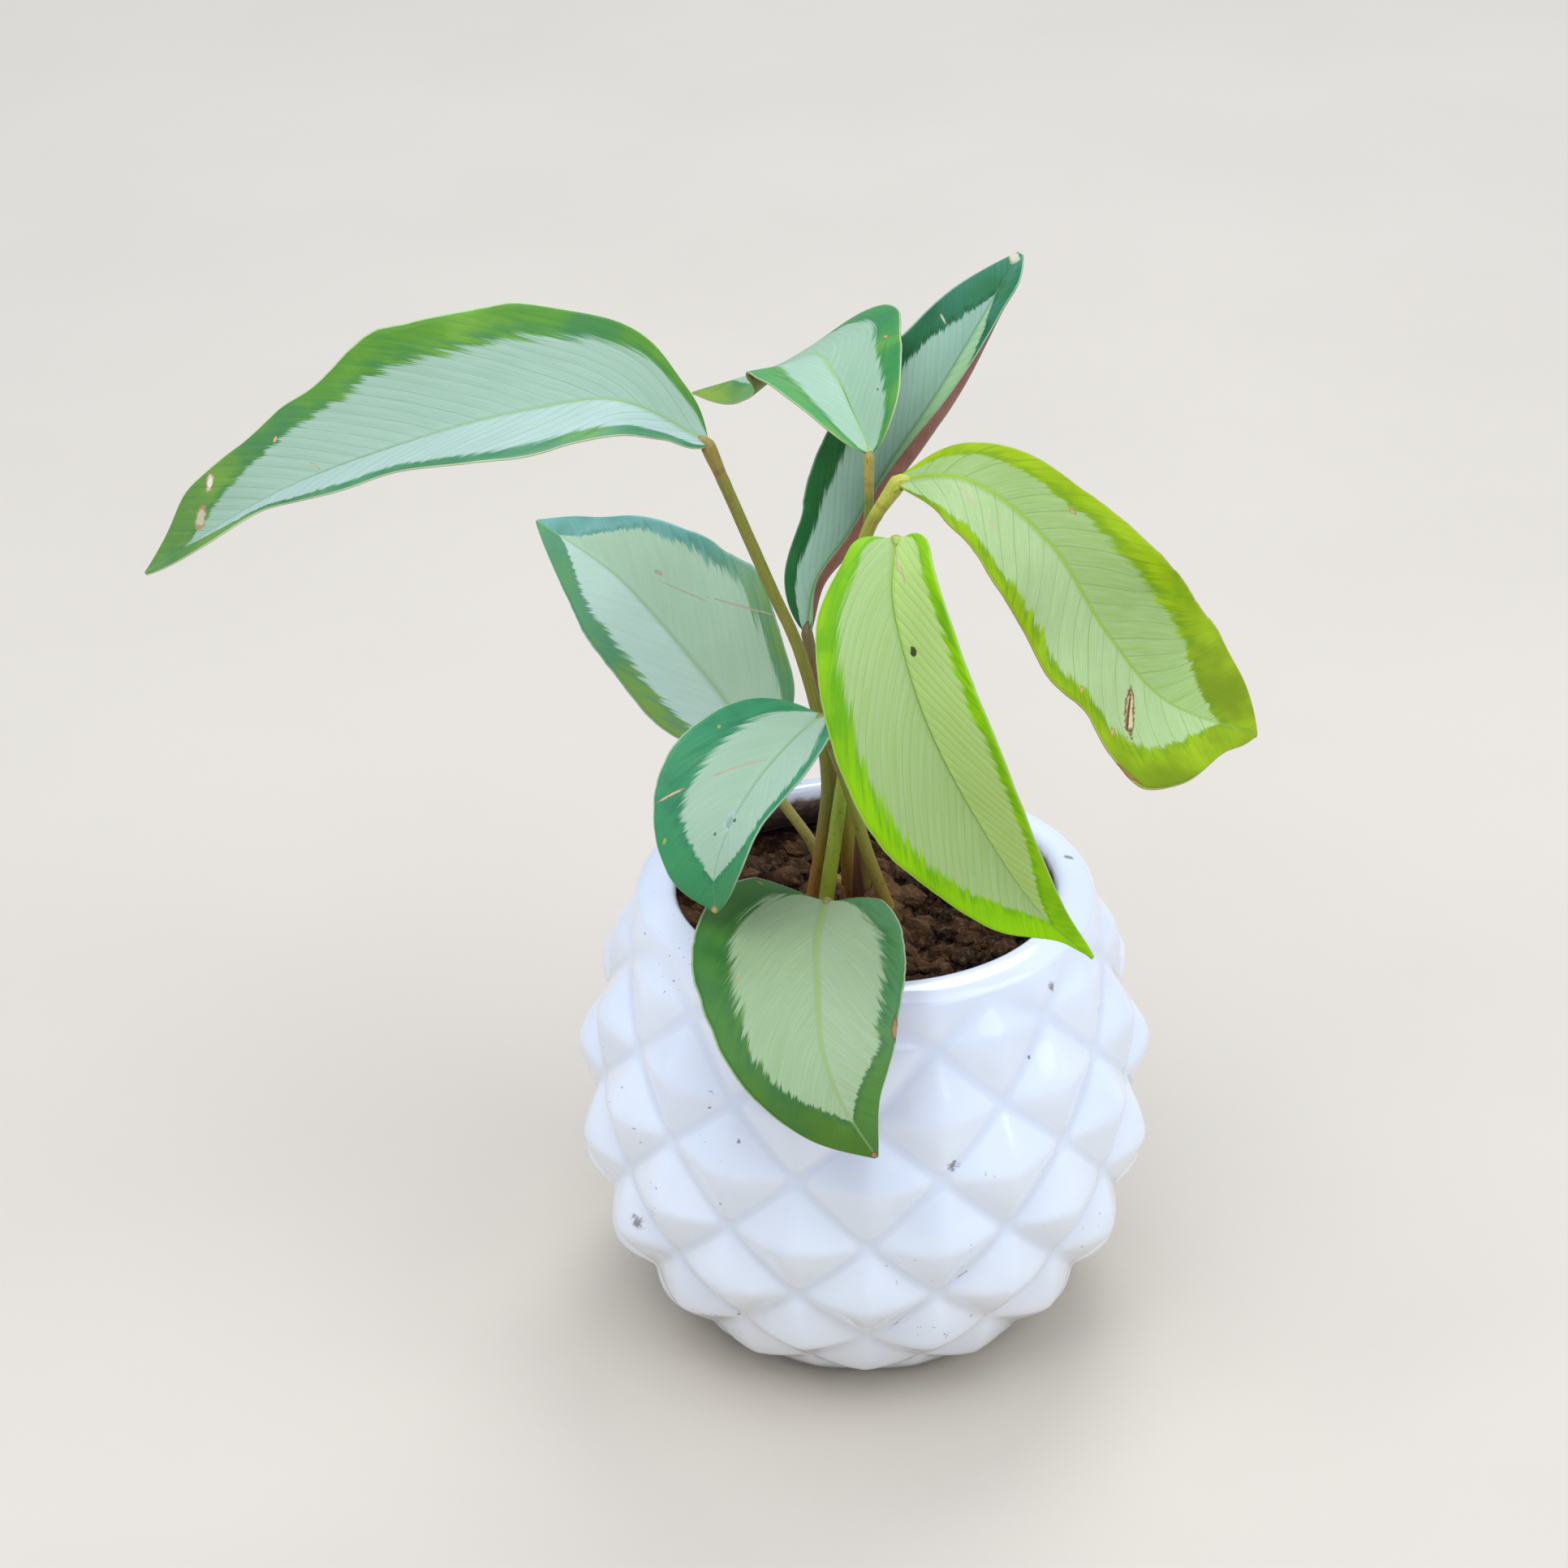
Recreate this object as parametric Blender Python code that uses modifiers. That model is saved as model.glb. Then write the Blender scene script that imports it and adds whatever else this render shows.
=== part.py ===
# A calathea with eight leaves, growing in a round white ceramic pot with a diamond relief.
# Sizes and places are in millimetres and angles in degrees; the meshes are written in metres.
# +Z is up, the pot stands on Z = 0 with its axis on Z, and the viewer looks along +Y.

import math

import bpy
import bmesh
from mathutils import Vector, noise

MM = 0.001
MERGE_DISTANCE = 0.00001
SAME_HEIGHT = 0.01
GAP = 0.3

DIAMONDS_ROUND = 12
STEPS_PER_DIAMOND = 6
POT_STEPS = DIAMONDS_ROUND * STEPS_PER_DIAMOND
RINGS_PER_HALF_ROW = 3
WALL = 4.5
FLOOR_Z = 6.0
RELIEF = 5.4
# How far each diamond's sides swell out past a straight pyramid.
RELIEF_SWELL = 0.35
# The groove lines cross at these half-rows, from the rim to the foot: radius, height and how
# much of the relief stands there.
HALF_ROWS = ((49.8, 102.3, 0.0), (52.6, 93.2, 0.45), (56.5, 78.4, 0.8), (59.1, 64.2, 0.95),
             (59.5, 48.5, 1.0), (57.8, 34.0, 1.0), (53.4, 20.8, 0.85), (46.6, 9.6, 0.5),
             (39.0, 1.6, 0.1))
LIP = ((48.9, 103.9), (47.2, 104.8), (45.0, 104.7), (42.8, 103.4), (41.3, 101.5), (41.9, 99.4))
FOOT_EDGE = ((37.4, 0.5), (36.4, 0.0))
INNER_ROWS = (1.0, 1.5, 2.0, 3.0, 4.0, 5.0, 6.0, 7.0)
INNER_FLOOR_RADIUS = 34.0

SOIL_TOP_Z = 92.0
SOIL_STEPS = 36
SOIL_RING_RADII = (5.0, 10.0, 15.5, 21.0, 27.0, 33.0, 39.5)
SOIL_LUMP_SIZE = 11.0
SOIL_LUMP_HEIGHT = 3.2
SOIL_CRUMBS_PER_LUMP = 2.3
SOIL_CRUMB_SHARE = 0.5
SOIL_CROWN_HEIGHT = 3.0
SOIL_CROWN_RADIUS = 22.0
SOIL_EDGE_RADIUS = 44.0

BLADE_THICKNESS = 0.7
BLADE_ROWS = 24
BLADE_COLUMNS = 8
BLADE_STALK_WIDTH = 1.2
BLADE_TIP_WIDTH = 0.4
FOLD_EASE_WIDTH = 3.0
LOBE_PEAK = 0.07
LOBE_END = 0.45
PATH_STEPS = 24

STEM_DEPTH = 16.0
STEM_RISE = 2.0
STEM_STEPS = 12
# Above 1 the steps crowd towards the top, where the stem bends most.
STEM_CROWDING = 1.4
STEM_BEVEL = 2
STEM_HOLE_MARGIN = 0.35
STEM_TOP_GAP = 0.75
PULVINUS_LENGTH = 9.0

# rib is the line of the midrib from stalk to tip, face is where the upper side looks at the
# stalk and at the tip, as a compass angle from +X and a height above the horizon.
# right and left are the widest half-widths, seen from above with the tip pointing away.
# widest is where along the rib they lie, base_round and tip_power shape the outline before and
# after it, and lobe is how far the base reaches back past the stalk.
# lift is how steeply each half rises from the rib and curl how much more it turns by its edge,
# both at the stalk and at the tip.
# wave is the height of the edge's waves, waves their number and phase their start right and left.
# swells are places where an edge stands out or in: where along the rib, how far it spreads and
# by how much.
LEAVES = {
    "leaf_long_left": {
        "rib": ((-34, 8, 205), (-52, 6, 215), (-71, 1, 215), (-94, -5, 211), (-121, -10, 202),
                (-149, -15, 186)),
        "face": ((-90, 72), (-90, 66)),
        "right": 24, "left": 17, "widest": 0.40, "base_round": 0.75, "tip_power": 1.9, "lobe": 0,
        "lift_right": (24, 20), "lift_left": (10, 42), "curl_right": (10, 10), "curl_left": (0, 0),
        "wave": 1.0, "waves": 2.5, "phase": (0.1, 0.1),
        "swells_right": ((0.09, 0.05, -2.2), (0.29, 0.06, 1.6), (0.52, 0.05, 1.9), (0.64, 0.04, -1.2),
                         (0.75, 0.06, -1.8), (0.88, 0.04, 1.2)),
        "swells_left": ((0.07, 0.03, -1.2), (0.19, 0.06, 1.6), (0.40, 0.10, 6.8), (0.58, 0.06, -2.4),
                        (0.77, 0.08, -6.2)),
    },
    "leaf_top_folded": {
        "rib": ((0, 14, 200), (-3, 26, 203), (-7, 40, 206), (-11, 51, 206), (-21, 59, 199), (-38, 67, 190)),
        "face": ((-90, 75), (90, 75)),
        "right": 17, "left": 18, "widest": 0.45, "base_round": 0.6, "tip_power": 2.0, "lobe": 0,
        "lift_right": (50, -15), "lift_left": (35, -38), "curl_right": (0, 0), "curl_left": (0, 0),
        "wave": 0.5, "waves": 2.0, "phase": (0.3, 0.8),
        "swells_right": ((0.25, 0.10, -1.0), (0.54, 0.07, 5.4)),
        "swells_left": (),
    },
    "leaf_tall_back": {
        "rib": ((-13, 18, 156), (-11, 24, 165), (-4, 31, 173), (5, 39, 186), (15, 46, 199), (33, 58, 227)),
        "face": ((-102, 22), (-102, 27)),
        "right": 11.5, "left": 16, "widest": 0.5, "base_round": 0.8, "tip_power": 2.0, "lobe": 0,
        "lift_right": (0, 0), "lift_left": (25, 30), "curl_right": (190, 100), "curl_left": (0, 0),
        "wave": 0.6, "waves": 2.0, "phase": (0.0, 0.5),
        "swells_right": ((0.94, 0.05, 2.4),),
        "swells_left": ((0.15, 0.12, -1.2), (0.85, 0.10, 0.8)),
    },
    "leaf_right": {
        "rib": ((6, -2, 201), (19, -6, 203), (36, -12, 192), (49, -18, 173), (61, -22, 160), (80, -26, 154)),
        "face": ((-80, 60), (-60, 50)),
        "right": 21, "left": 22, "widest": 0.72, "base_round": 0.9, "tip_power": 3.2, "lobe": 0,
        "lift_right": (10, 5), "lift_left": (10, 5), "curl_right": (0, 0), "curl_left": (0, 0),
        "wave": 0.9, "waves": 3.0, "phase": (0.2, 0.7),
        "swells_right": ((0.15, 0.09, 3.2), (0.33, 0.09, 2.8), (0.52, 0.08, -2.0), (0.68, 0.06, -3.4),
                         (0.82, 0.035, 2.4), (0.94, 0.04, -4.5)),
        "swells_left": ((0.38, 0.16, -2.2), (0.62, 0.06, 0.8), (0.90, 0.04, -0.8)),
    },
    "leaf_front": {
        "rib": ((5, -22, 197), (4, -36, 191), (6, -46, 184), (11, -56, 172), (21, -64, 155),
                (35, -70, 136), (44, -73, 129)),
        "face": ((-115, 55), (-125, 25)),
        "right": 20, "left": 15, "widest": 0.5, "base_round": 0.5, "tip_power": 1.55, "lobe": 3,
        "lift_right": (28, 30), "lift_left": (28, 30), "curl_right": (0, 0), "curl_left": (0, 0),
        "wave": 0.8, "waves": 2.0, "phase": (0.5, 0.0),
        "swells_right": ((0.12, 0.07, -2.4), (0.60, 0.10, 1.2), (0.92, 0.06, -3.0)),
        "swells_left": (),
    },
    "leaf_back_left": {
        "rib": ((-24, 22, 124), (-30, 28, 132), (-39, 35, 141), (-46, 41, 147), (-55, 48, 154),
                (-73, 58, 163)),
        "face": ((-80, 45), (-80, 50)),
        "right": 22, "left": 18, "widest": 0.42, "base_round": 0.5, "tip_power": 1.9, "lobe": 0,
        "lift_right": (8, 8), "lift_left": (8, 8), "curl_right": (0, 0), "curl_left": (0, 0),
        "wave": 1.0, "waves": 2.0, "phase": (0.7, 0.2),
        "swells_right": ((0.20, 0.10, -1.2), (0.44, 0.09, 2.6), (0.60, 0.06, 1.4), (0.84, 0.06, -1.2)),
        "swells_left": ((0.42, 0.14, -1.3),),
    },
    "leaf_small_left": {
        "rib": ((-10, -8, 149), (-17, -18, 147), (-24, -28, 143), (-29, -35, 137), (-32, -40, 129),
                (-32, -42, 121)),
        "face": ((-112, 60), (-125, 40)),
        "right": 19, "left": 13.5, "widest": 0.5, "base_round": 0.7, "tip_power": 2.2, "lobe": 0,
        "lift_right": (28, 30), "lift_left": (28, 30), "curl_right": (0, 0), "curl_left": (0, 0),
        "wave": 0.6, "waves": 2.0, "phase": (0.4, 0.9),
        "swells_right": ((0.38, 0.12, -1.2),),
        "swells_left": ((0.62, 0.14, -2.2),),
    },
    "leaf_front_low": {
        "rib": ((-9, -26, 114), (-11, -42, 114), (-11, -54, 112), (-10, -68, 104), (-6, -76, 96),
                (1, -82, 87)),
        "face": ((-90, 60), (-90, 30)),
        "right": 26, "left": 18.5, "widest": 0.36, "base_round": 0.5, "tip_power": 1.7, "lobe": 8,
        "lift_right": (5, 5), "lift_left": (5, 5), "curl_right": (0, 0), "curl_left": (0, 0),
        "wave": 0.5, "waves": 1.5, "phase": (0.2, 0.7),
        "swells_right": (),
        "swells_left": ((0.72, 0.13, 2.2),),
    },
}

# Each stem stands in its hole at foot, passes through its bends and carries the leaf of its name.
# radii are those at the foot, on the way and at the joint under the leaf.
STEMS = {
    "stem_long_left": {"foot": (-12, 1), "finish": "olive", "radii": (1.6, 1.3, 1.6),
                       "bends": ((-9.5, 0, 115), (-8.5, 1, 129), (-14.5, 4, 158), (-20.5, 6, 172))},
    "stem_top_folded": {"foot": (0, 8), "finish": "olive", "radii": (1.4, 1.0, 1.1),
                        "bends": ((-2, 10, 136), (-1, 12, 162), (0, 12, 188))},
    "stem_tall_back": {"foot": (-8.5, 7), "finish": "brown", "radii": (1.7, 1.3, 1.3),
                       "bends": ((-7, 9, 122), (-7, 11, 135), (-11, 15, 147))},
    "stem_right": {"foot": (-3.5, 2.5), "finish": "lime", "radii": (1.7, 1.4, 1.8),
                   "bends": ((-4, 2, 120), (-4, 1, 151), (-3, 0, 177), (0, -1, 190))},
    "stem_front": {"foot": (-9.5, -4), "finish": "green", "radii": (1.7, 1.4, 1.6),
                   "bends": ((-7, -3, 115), (-5, -2, 131), (-1, -5, 155), (3, -13, 182))},
    "stem_back_left": {"foot": (-5, 13), "finish": "olive", "radii": (1.5, 1.2, 1.3),
                       "bends": ((-8, 13, 98), (-12, 14, 106), (-19, 18, 115))},
    "stem_small_left": {"foot": (5, -2), "finish": "olive", "radii": (1.6, 1.3, 1.3),
                        "bends": ((0, -6, 115), (-4, -8, 131))},
    "stem_front_low": {"foot": (-2, -10), "finish": "olive", "radii": (1.5, 1.2, 1.3),
                       "bends": ((-4, -14, 103),)},
}

# Dry sheath scales that stand among the stems.
SHEATHS = {
    "sheath_tall": {"radii": (1.6, 0.5),
                    "points": ((-1.5, -1.5, 76), (-1.5, -1.5, 96), (-2, -2.5, 108), (-2.5, -3.3, 118))},
    "sheath_short": {"radii": (1.4, 0.5),
                     "points": ((-5, -4.5, 76), (-5, -4.5, 96), (-5, -6, 102), (-5, -7, 107))},
}

# Each finish has its colour and its roughness.
FINISHES = {
    "pot": ((0.86, 0.87, 0.90), 0.12), "soil": ((0.10, 0.055, 0.03), 0.95),
    "olive": ((0.30, 0.26, 0.05), 0.45), "brown": ((0.25, 0.13, 0.06), 0.45),
    "lime": ((0.45, 0.45, 0.06), 0.45), "green": ((0.26, 0.40, 0.06), 0.45),
    "sheath": ((0.20, 0.07, 0.04), 0.6), "leaf": ((0.36, 0.62, 0.40), 0.4),
    "leaf_bright": ((0.45, 0.68, 0.15), 0.4), "leaf_dark": ((0.16, 0.42, 0.25), 0.4),
}
LEAF_FINISHES = {"leaf_right": "leaf_bright", "leaf_front": "leaf_bright", "leaf_tall_back": "leaf_dark"}
POT_CREASE_ANGLE = 40.0
PLANT_CREASE_ANGLE = 50.0


def smoothstep(value):
    value = min(max(value, 0.0), 1.0)
    return value * value * (3.0 - 2.0 * value)


def mix(first, last, share):
    return first + (last - first) * share


def direction(angles):
    compass, height = (math.radians(angle) for angle in angles)
    level = math.cos(height)
    return Vector((math.cos(compass) * level, math.sin(compass) * level, math.sin(height)))


def curve_point(before, start, end, after, share):
    """A point between start and end on the smooth curve that also passes the two beside them."""
    step = end - start
    leave = ((start - before).normalized() + step.normalized()).normalized() * step.length
    arrive = (step.normalized() + (after - end).normalized()).normalized() * step.length
    turned = share - 1.0
    return (start + step * smoothstep(share)
            + leave * share * turned * turned + arrive * share * share * turned)


def with_ends(points):
    knots = [Vector(point) for point in points]
    return [2 * knots[0] - knots[1], *knots, 2 * knots[-1] - knots[-2]]


def smooth_path(points, shares):
    """Places on a smooth curve through the points, each at its share of the curve's length."""
    knots = with_ends(points)
    fine = [curve_point(*four, step / PATH_STEPS)
            for four in zip(knots, knots[1:], knots[2:], knots[3:]) for step in range(PATH_STEPS)]
    fine.append(knots[-2])
    reached = [0.0]
    for one, other in zip(fine, fine[1:]):
        reached.append(reached[-1] + (other - one).length)
    places = []
    piece = 0
    for share in shares:
        wanted = share * reached[-1]
        while piece < len(fine) - 2 and reached[piece + 1] < wanted:
            piece += 1
        part = (wanted - reached[piece]) / (reached[piece + 1] - reached[piece])
        places.append(fine[piece].lerp(fine[piece + 1], part))
    return places


def directions_along(places):
    ahead = places[1:] + [places[-1]]
    behind = [places[0]] + places[:-1]
    return [(after - before).normalized() for after, before in zip(ahead, behind)]


def new_object(name, mesh, collection):
    item = bpy.data.objects.new(name, mesh)
    collection.objects.link(item)
    return item


def mesh_from_bmesh(name, shape):
    mesh = bpy.data.meshes.new(name)
    shape.to_mesh(mesh)
    shape.free()
    return mesh


def turned_mesh(name, profile, steps):
    """A profile of radius and height, turned round Z into a closed mesh."""
    shape = bmesh.new()
    corners = [shape.verts.new((radius * MM, 0, height * MM)) for radius, height in profile]
    for one, other in zip(corners, corners[1:]):
        shape.edges.new((one, other))
    item = new_object(name, mesh_from_bmesh(name, shape), bpy.context.scene.collection)
    screw = item.modifiers.new("turn", "SCREW")
    screw.steps = steps
    screw.render_steps = steps
    screw.use_merge_vertices = True
    screw.merge_threshold = MERGE_DISTANCE
    evaluated = item.evaluated_get(bpy.context.evaluated_depsgraph_get())
    turned = bpy.data.meshes.new_from_object(evaluated)
    bpy.data.objects.remove(item)
    return turned


def body_point(row):
    """Radius, height and share of relief on the pot's plain body, at a count of half-rows."""
    knots = with_ends(HALF_ROWS)
    first = min(int(row), len(HALF_ROWS) - 2)
    return curve_point(*knots[first:first + 4], row - first)


def outward_at(row):
    step = 1.0 / RINGS_PER_HALF_ROW
    above = body_point(max(row - step, 0.0))
    below = body_point(min(row + step, len(HALF_ROWS) - 1.0))
    return Vector((above.y - below.y, below.x - above.x)).normalized()


def diamond_height(compass, row):
    """Height share of the relief: a pyramid in each diamond between the crossing grooves."""
    across = compass * DIAMONDS_ROUND / 360.0
    slopes = [2.0 * abs(line - round(line)) for line in (across - row / 2.0, across + row / 2.0)]
    lowest = min(slopes)
    return lowest * (1.0 + RELIEF_SWELL * (1.0 - lowest))


def outer_rings():
    """The outer wall's rings from rim to foot: half-row, radius and height."""
    count = (len(HALF_ROWS) - 1) * RINGS_PER_HALF_ROW
    rows = [ring / RINGS_PER_HALF_ROW for ring in range(count + 1)]
    return [(row, *body_point(row)[:2]) for row in rows]


def inner_profile(inset):
    """The inside of the wall from below the lip to the floor, moved inwards by inset."""
    wall = []
    for row in INNER_ROWS:
        point = body_point(row)
        outward = outward_at(row)
        wall.append((point.x - outward.x * (WALL + inset), point.y - outward.y * (WALL + inset)))
    return wall + [(INNER_FLOOR_RADIUS - inset, FLOOR_Z + inset), (0.0, FLOOR_Z + inset)]


def pot_profile():
    outside = [(radius, height) for _, radius, height in outer_rings()]
    inside = inner_profile(0.0)
    return [*reversed(inside), *reversed(LIP), *outside, *FOOT_EDGE, (0.0, 0.0)]


def raise_diamonds(shape):
    """Move the outer wall's vertices outwards and return each one's share of the relief."""
    row_at = {(round(radius, 2), round(height, 2)): row for row, radius, height in outer_rings()}
    raised = {}
    for vertex in shape.verts:
        flat = math.hypot(vertex.co.x, vertex.co.y)
        row = row_at.get((round(flat / MM, 2), round(vertex.co.z / MM, 2)))
        if row is None:
            continue
        compass = math.degrees(math.atan2(vertex.co.y, vertex.co.x)) + 90.0
        raised[vertex] = diamond_height(compass, row)
        rise = RELIEF * body_point(row).z * raised[vertex] * MM
        outward = outward_at(row)
        vertex.co.x *= 1.0 + outward.x * rise / flat
        vertex.co.y *= 1.0 + outward.x * rise / flat
        vertex.co.z += outward.y * rise
    return raised


def split_along_grooves(shape, raised):
    """Cut each quad of the relief along the diagonal that lies deeper, so the grooves stay sharp."""
    for face in list(shape.faces):
        corners = list(face.verts)
        if len(corners) != 4 or any(corner not in raised for corner in corners):
            continue
        one, two, three, four = corners
        if raised[one] + raised[three] <= raised[two] + raised[four]:
            bmesh.utils.face_split(face, one, three)
        else:
            bmesh.utils.face_split(face, two, four)


def make_pot(parts):
    shape = bmesh.new()
    shape.from_mesh(turned_mesh("pot", pot_profile(), POT_STEPS))
    split_along_grooves(shape, raise_diamonds(shape))
    return new_object("pot", mesh_from_bmesh("pot", shape), parts)


def soil_height(x, y):
    """Height of the lumpy soil, a little higher round the stems."""
    reach = math.hypot(x, y)
    spot = Vector((x, y, 0.0)) / SOIL_LUMP_SIZE
    lumps = noise.noise(spot) + SOIL_CRUMB_SHARE * noise.noise(SOIL_CRUMBS_PER_LUMP * spot)
    crown = SOIL_CROWN_HEIGHT * (1.0 - smoothstep(reach / SOIL_CROWN_RADIUS))
    edge = 1.0 - smoothstep((reach - SOIL_RING_RADII[-1]) / (SOIL_EDGE_RADIUS - SOIL_RING_RADII[-1]))
    return SOIL_TOP_Z + (SOIL_LUMP_HEIGHT * lumps + crown) * edge


def make_soil(parts, cutters):
    wall = [point for point in inner_profile(GAP) if point[1] < SOIL_TOP_Z]
    profile = [(0.0, SOIL_TOP_Z), *[(radius, SOIL_TOP_Z) for radius in SOIL_RING_RADII],
               (SOIL_EDGE_RADIUS, SOIL_TOP_Z), *wall]
    mesh = turned_mesh("soil", profile, SOIL_STEPS)
    for vertex in mesh.vertices:
        if vertex.co.z > (SOIL_TOP_Z - SAME_HEIGHT) * MM:
            vertex.co.z = soil_height(vertex.co.x / MM, vertex.co.y / MM) * MM
    soil = new_object("soil", mesh, parts)
    for cutter in cutters.objects:
        hole = soil.modifiers.new(cutter.name, "BOOLEAN")
        hole.operation = "DIFFERENCE"
        hole.solver = "EXACT"
        hole.object = cutter
    return soil


def plain_width(leaf, side, share):
    """Half-width at a share of the rib: a round base, a widest place and a pointed tip."""
    widest = leaf["widest"]
    if share < widest:
        form = (1.0 - ((widest - share) / widest) ** 2) ** leaf["base_round"]
        return mix(BLADE_STALK_WIDTH, leaf[side], form)
    form = 1.0 - ((share - widest) / (1.0 - widest)) ** leaf["tip_power"]
    return mix(BLADE_TIP_WIDTH, leaf[side], form)


def half_width(leaf, side, share):
    swell = sum(amount * math.exp(-((share - at) / spread) ** 2)
                for at, spread, amount in leaf["swells_" + side])
    return max(plain_width(leaf, side, share) + swell, BLADE_TIP_WIDTH)


def lobe_share(share):
    """How far the base lobes reach back past the stalk, as a share of their length."""
    if share < LOBE_PEAK:
        return math.sqrt(share / LOBE_PEAK)
    return 1.0 - smoothstep((share - LOBE_PEAK) / (LOBE_END - LOBE_PEAK))


def edge_wave(leaf, side, share):
    """Height of the edge's waves, which die away towards both ends of the rib."""
    shift = leaf["phase"][0 if side == "right" else 1]
    swing = math.sin(2.0 * math.pi * (leaf["waves"] * share + shift))
    return leaf["wave"] * swing * math.sin(math.pi * share)


def blade_half(leaf, side, share, columns):
    """Places across one half from rib to edge, as distance aside, height and reach back."""
    width = half_width(leaf, side, share)
    ease = width / (width + FOLD_EASE_WIDTH) * (1.0 + FOLD_EASE_WIDTH / leaf[side])
    lift = mix(*leaf["lift_" + side], share)
    curl = mix(*leaf["curl_" + side], share)
    wave = edge_wave(leaf, side, share)
    aside = 0.0
    height = 0.0
    places = [(0.0, 0.0, 0.0)]
    for column in range(1, columns + 1):
        part = column / columns
        turn = math.radians(ease * (lift + curl * (part - 0.5 / columns)))
        aside += width / columns * math.cos(turn)
        height += width / columns * math.sin(turn)
        places.append((aside, height + wave * part * part, leaf["lobe"] * lobe_share(share) * part * part))
    return places


def blade_rows(leaf, rows, columns):
    """The leaf's surface as rows of points from its left edge to its right edge."""
    shares = [0.5 - 0.5 * math.cos(math.pi * row / rows) for row in range(rows + 1)]
    rib = smooth_path(leaf["rib"], shares)
    stalk_face, tip_face = (direction(angles) for angles in leaf["face"])
    surface = []
    for share, centre, along in zip(shares, rib, directions_along(rib)):
        side = along.cross(stalk_face.lerp(tip_face, share)).normalized()
        up = side.cross(along)
        right = [centre + side * aside + up * height - along * back
                 for aside, height, back in blade_half(leaf, "right", share, columns)]
        left = [centre - side * aside + up * height - along * back
                for aside, height, back in blade_half(leaf, "left", share, columns)]
        surface.append(left[:0:-1] + right)
    return surface


def make_leaf(name, leaf, parts):
    shape = bmesh.new()
    bmesh.ops.create_grid(shape, x_segments=BLADE_COLUMNS, y_segments=BLADE_ROWS, size=1.0)
    shape.verts.ensure_lookup_table()
    places = [place for row in blade_rows(leaf, BLADE_ROWS, BLADE_COLUMNS // 2) for place in row]
    for vertex, place in zip(shape.verts, places):
        vertex.co = place * MM
    bmesh.ops.triangulate(shape, faces=shape.faces[:])
    item = new_object(name, mesh_from_bmesh(name, shape), parts)
    skin = item.modifiers.new("thickness", "SOLIDIFY")
    skin.thickness = BLADE_THICKNESS * MM
    skin.offset = 0.0
    return item


def tube_object(name, places, radii, collection):
    """A round rod through the places, its radius changing evenly between the ones given."""
    curve = bpy.data.curves.new(name, "CURVE")
    curve.dimensions = "3D"
    curve.bevel_depth = MM
    curve.bevel_resolution = STEM_BEVEL
    curve.use_fill_caps = True
    spline = curve.splines.new("POLY")
    spline.points.add(len(places) - 1)
    for point, place, radius in zip(spline.points, places, radii):
        point.co = (*(place * MM), 1.0)
        point.radius = radius
    rod = new_object(name, curve, bpy.context.scene.collection)
    evaluated = rod.evaluated_get(bpy.context.evaluated_depsgraph_get())
    mesh = bpy.data.meshes.new_from_object(evaluated)
    bpy.data.objects.remove(rod)
    shape = bmesh.new()
    shape.from_mesh(mesh)
    bmesh.ops.remove_doubles(shape, verts=shape.verts[:], dist=MERGE_DISTANCE)
    shape.to_mesh(mesh)
    shape.free()
    return new_object(name, mesh, collection)


def stem_route(name, stem):
    """The stem's line from the bottom of its hole to just under the leaf that it carries."""
    x, y = stem["foot"]
    ground = soil_height(x, y)
    foot = Vector((x, y, ground - STEM_DEPTH))
    surface = Vector((x, y, ground + STEM_RISE))
    upper = [Vector(bend) for bend in stem["bends"]]
    blade = Vector(LEAVES[name.replace("stem", "leaf")]["rib"][0])
    top = blade - (blade - upper[-1]).normalized() * STEM_TOP_GAP
    return foot, surface, [surface, *upper, top]


def stem_radius(radii, share, length):
    """Radius along the stem: foot, middle, and the thicker joint under the leaf."""
    foot, middle, joint = radii
    joint_share = 1.0 - smoothstep((1.0 - share) * length / PULVINUS_LENGTH)
    return mix(mix(foot, middle, smoothstep(share * 2.0)), joint, joint_share)


def make_stem(name, stem, parts, cutters):
    foot, surface, knots = stem_route(name, stem)
    shares = [1.0 - (1.0 - step / STEM_STEPS) ** STEM_CROWDING for step in range(STEM_STEPS + 1)]
    above = smooth_path(knots, shares)
    length = sum((after - before).length for before, after in zip(above, above[1:]))
    radii = [stem["radii"][0]] + [stem_radius(stem["radii"], share, length) for share in shares]
    item = tube_object(name, [foot, *above], radii, parts)
    cut_hole(name, foot, surface, stem["radii"][0], cutters)
    return item


def cut_hole(name, foot, surface, radius, cutters):
    bottom = foot - Vector((0.0, 0.0, GAP))
    top = surface + Vector((0.0, 0.0, SOIL_LUMP_HEIGHT))
    wide = radius + STEM_HOLE_MARGIN
    hole = tube_object(name + "_hole", [bottom, top], [wide, wide], cutters)
    hole.hide_render = True
    hole.display_type = "WIRE"


def make_sheath(name, sheath, parts, cutters):
    knots = [Vector(point) for point in sheath["points"]]
    shares = [step / STEM_STEPS for step in range(STEM_STEPS + 1)]
    places = smooth_path(knots[1:], shares)
    thick, thin = sheath["radii"]
    radii = [thick] + [mix(thick, thin, share ** 2) for share in shares]
    item = tube_object(name, [knots[0], *places], radii, parts)
    cut_hole(name, knots[0], knots[1], thick, cutters)
    return item


def paint(item, name):
    colour, roughness = FINISHES[name]
    finish = bpy.data.materials.get(name) or bpy.data.materials.new(name)
    finish.use_nodes = True
    shader = finish.node_tree.nodes["Principled BSDF"]
    shader.inputs["Base Color"].default_value = (*colour, 1.0)
    shader.inputs["Roughness"].default_value = roughness
    item.data.materials.clear()
    item.data.materials.append(finish)


def smooth_shade(item, angle):
    item.data.shade_smooth()
    item.data.set_sharp_from_angle(angle=math.radians(angle))


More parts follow.
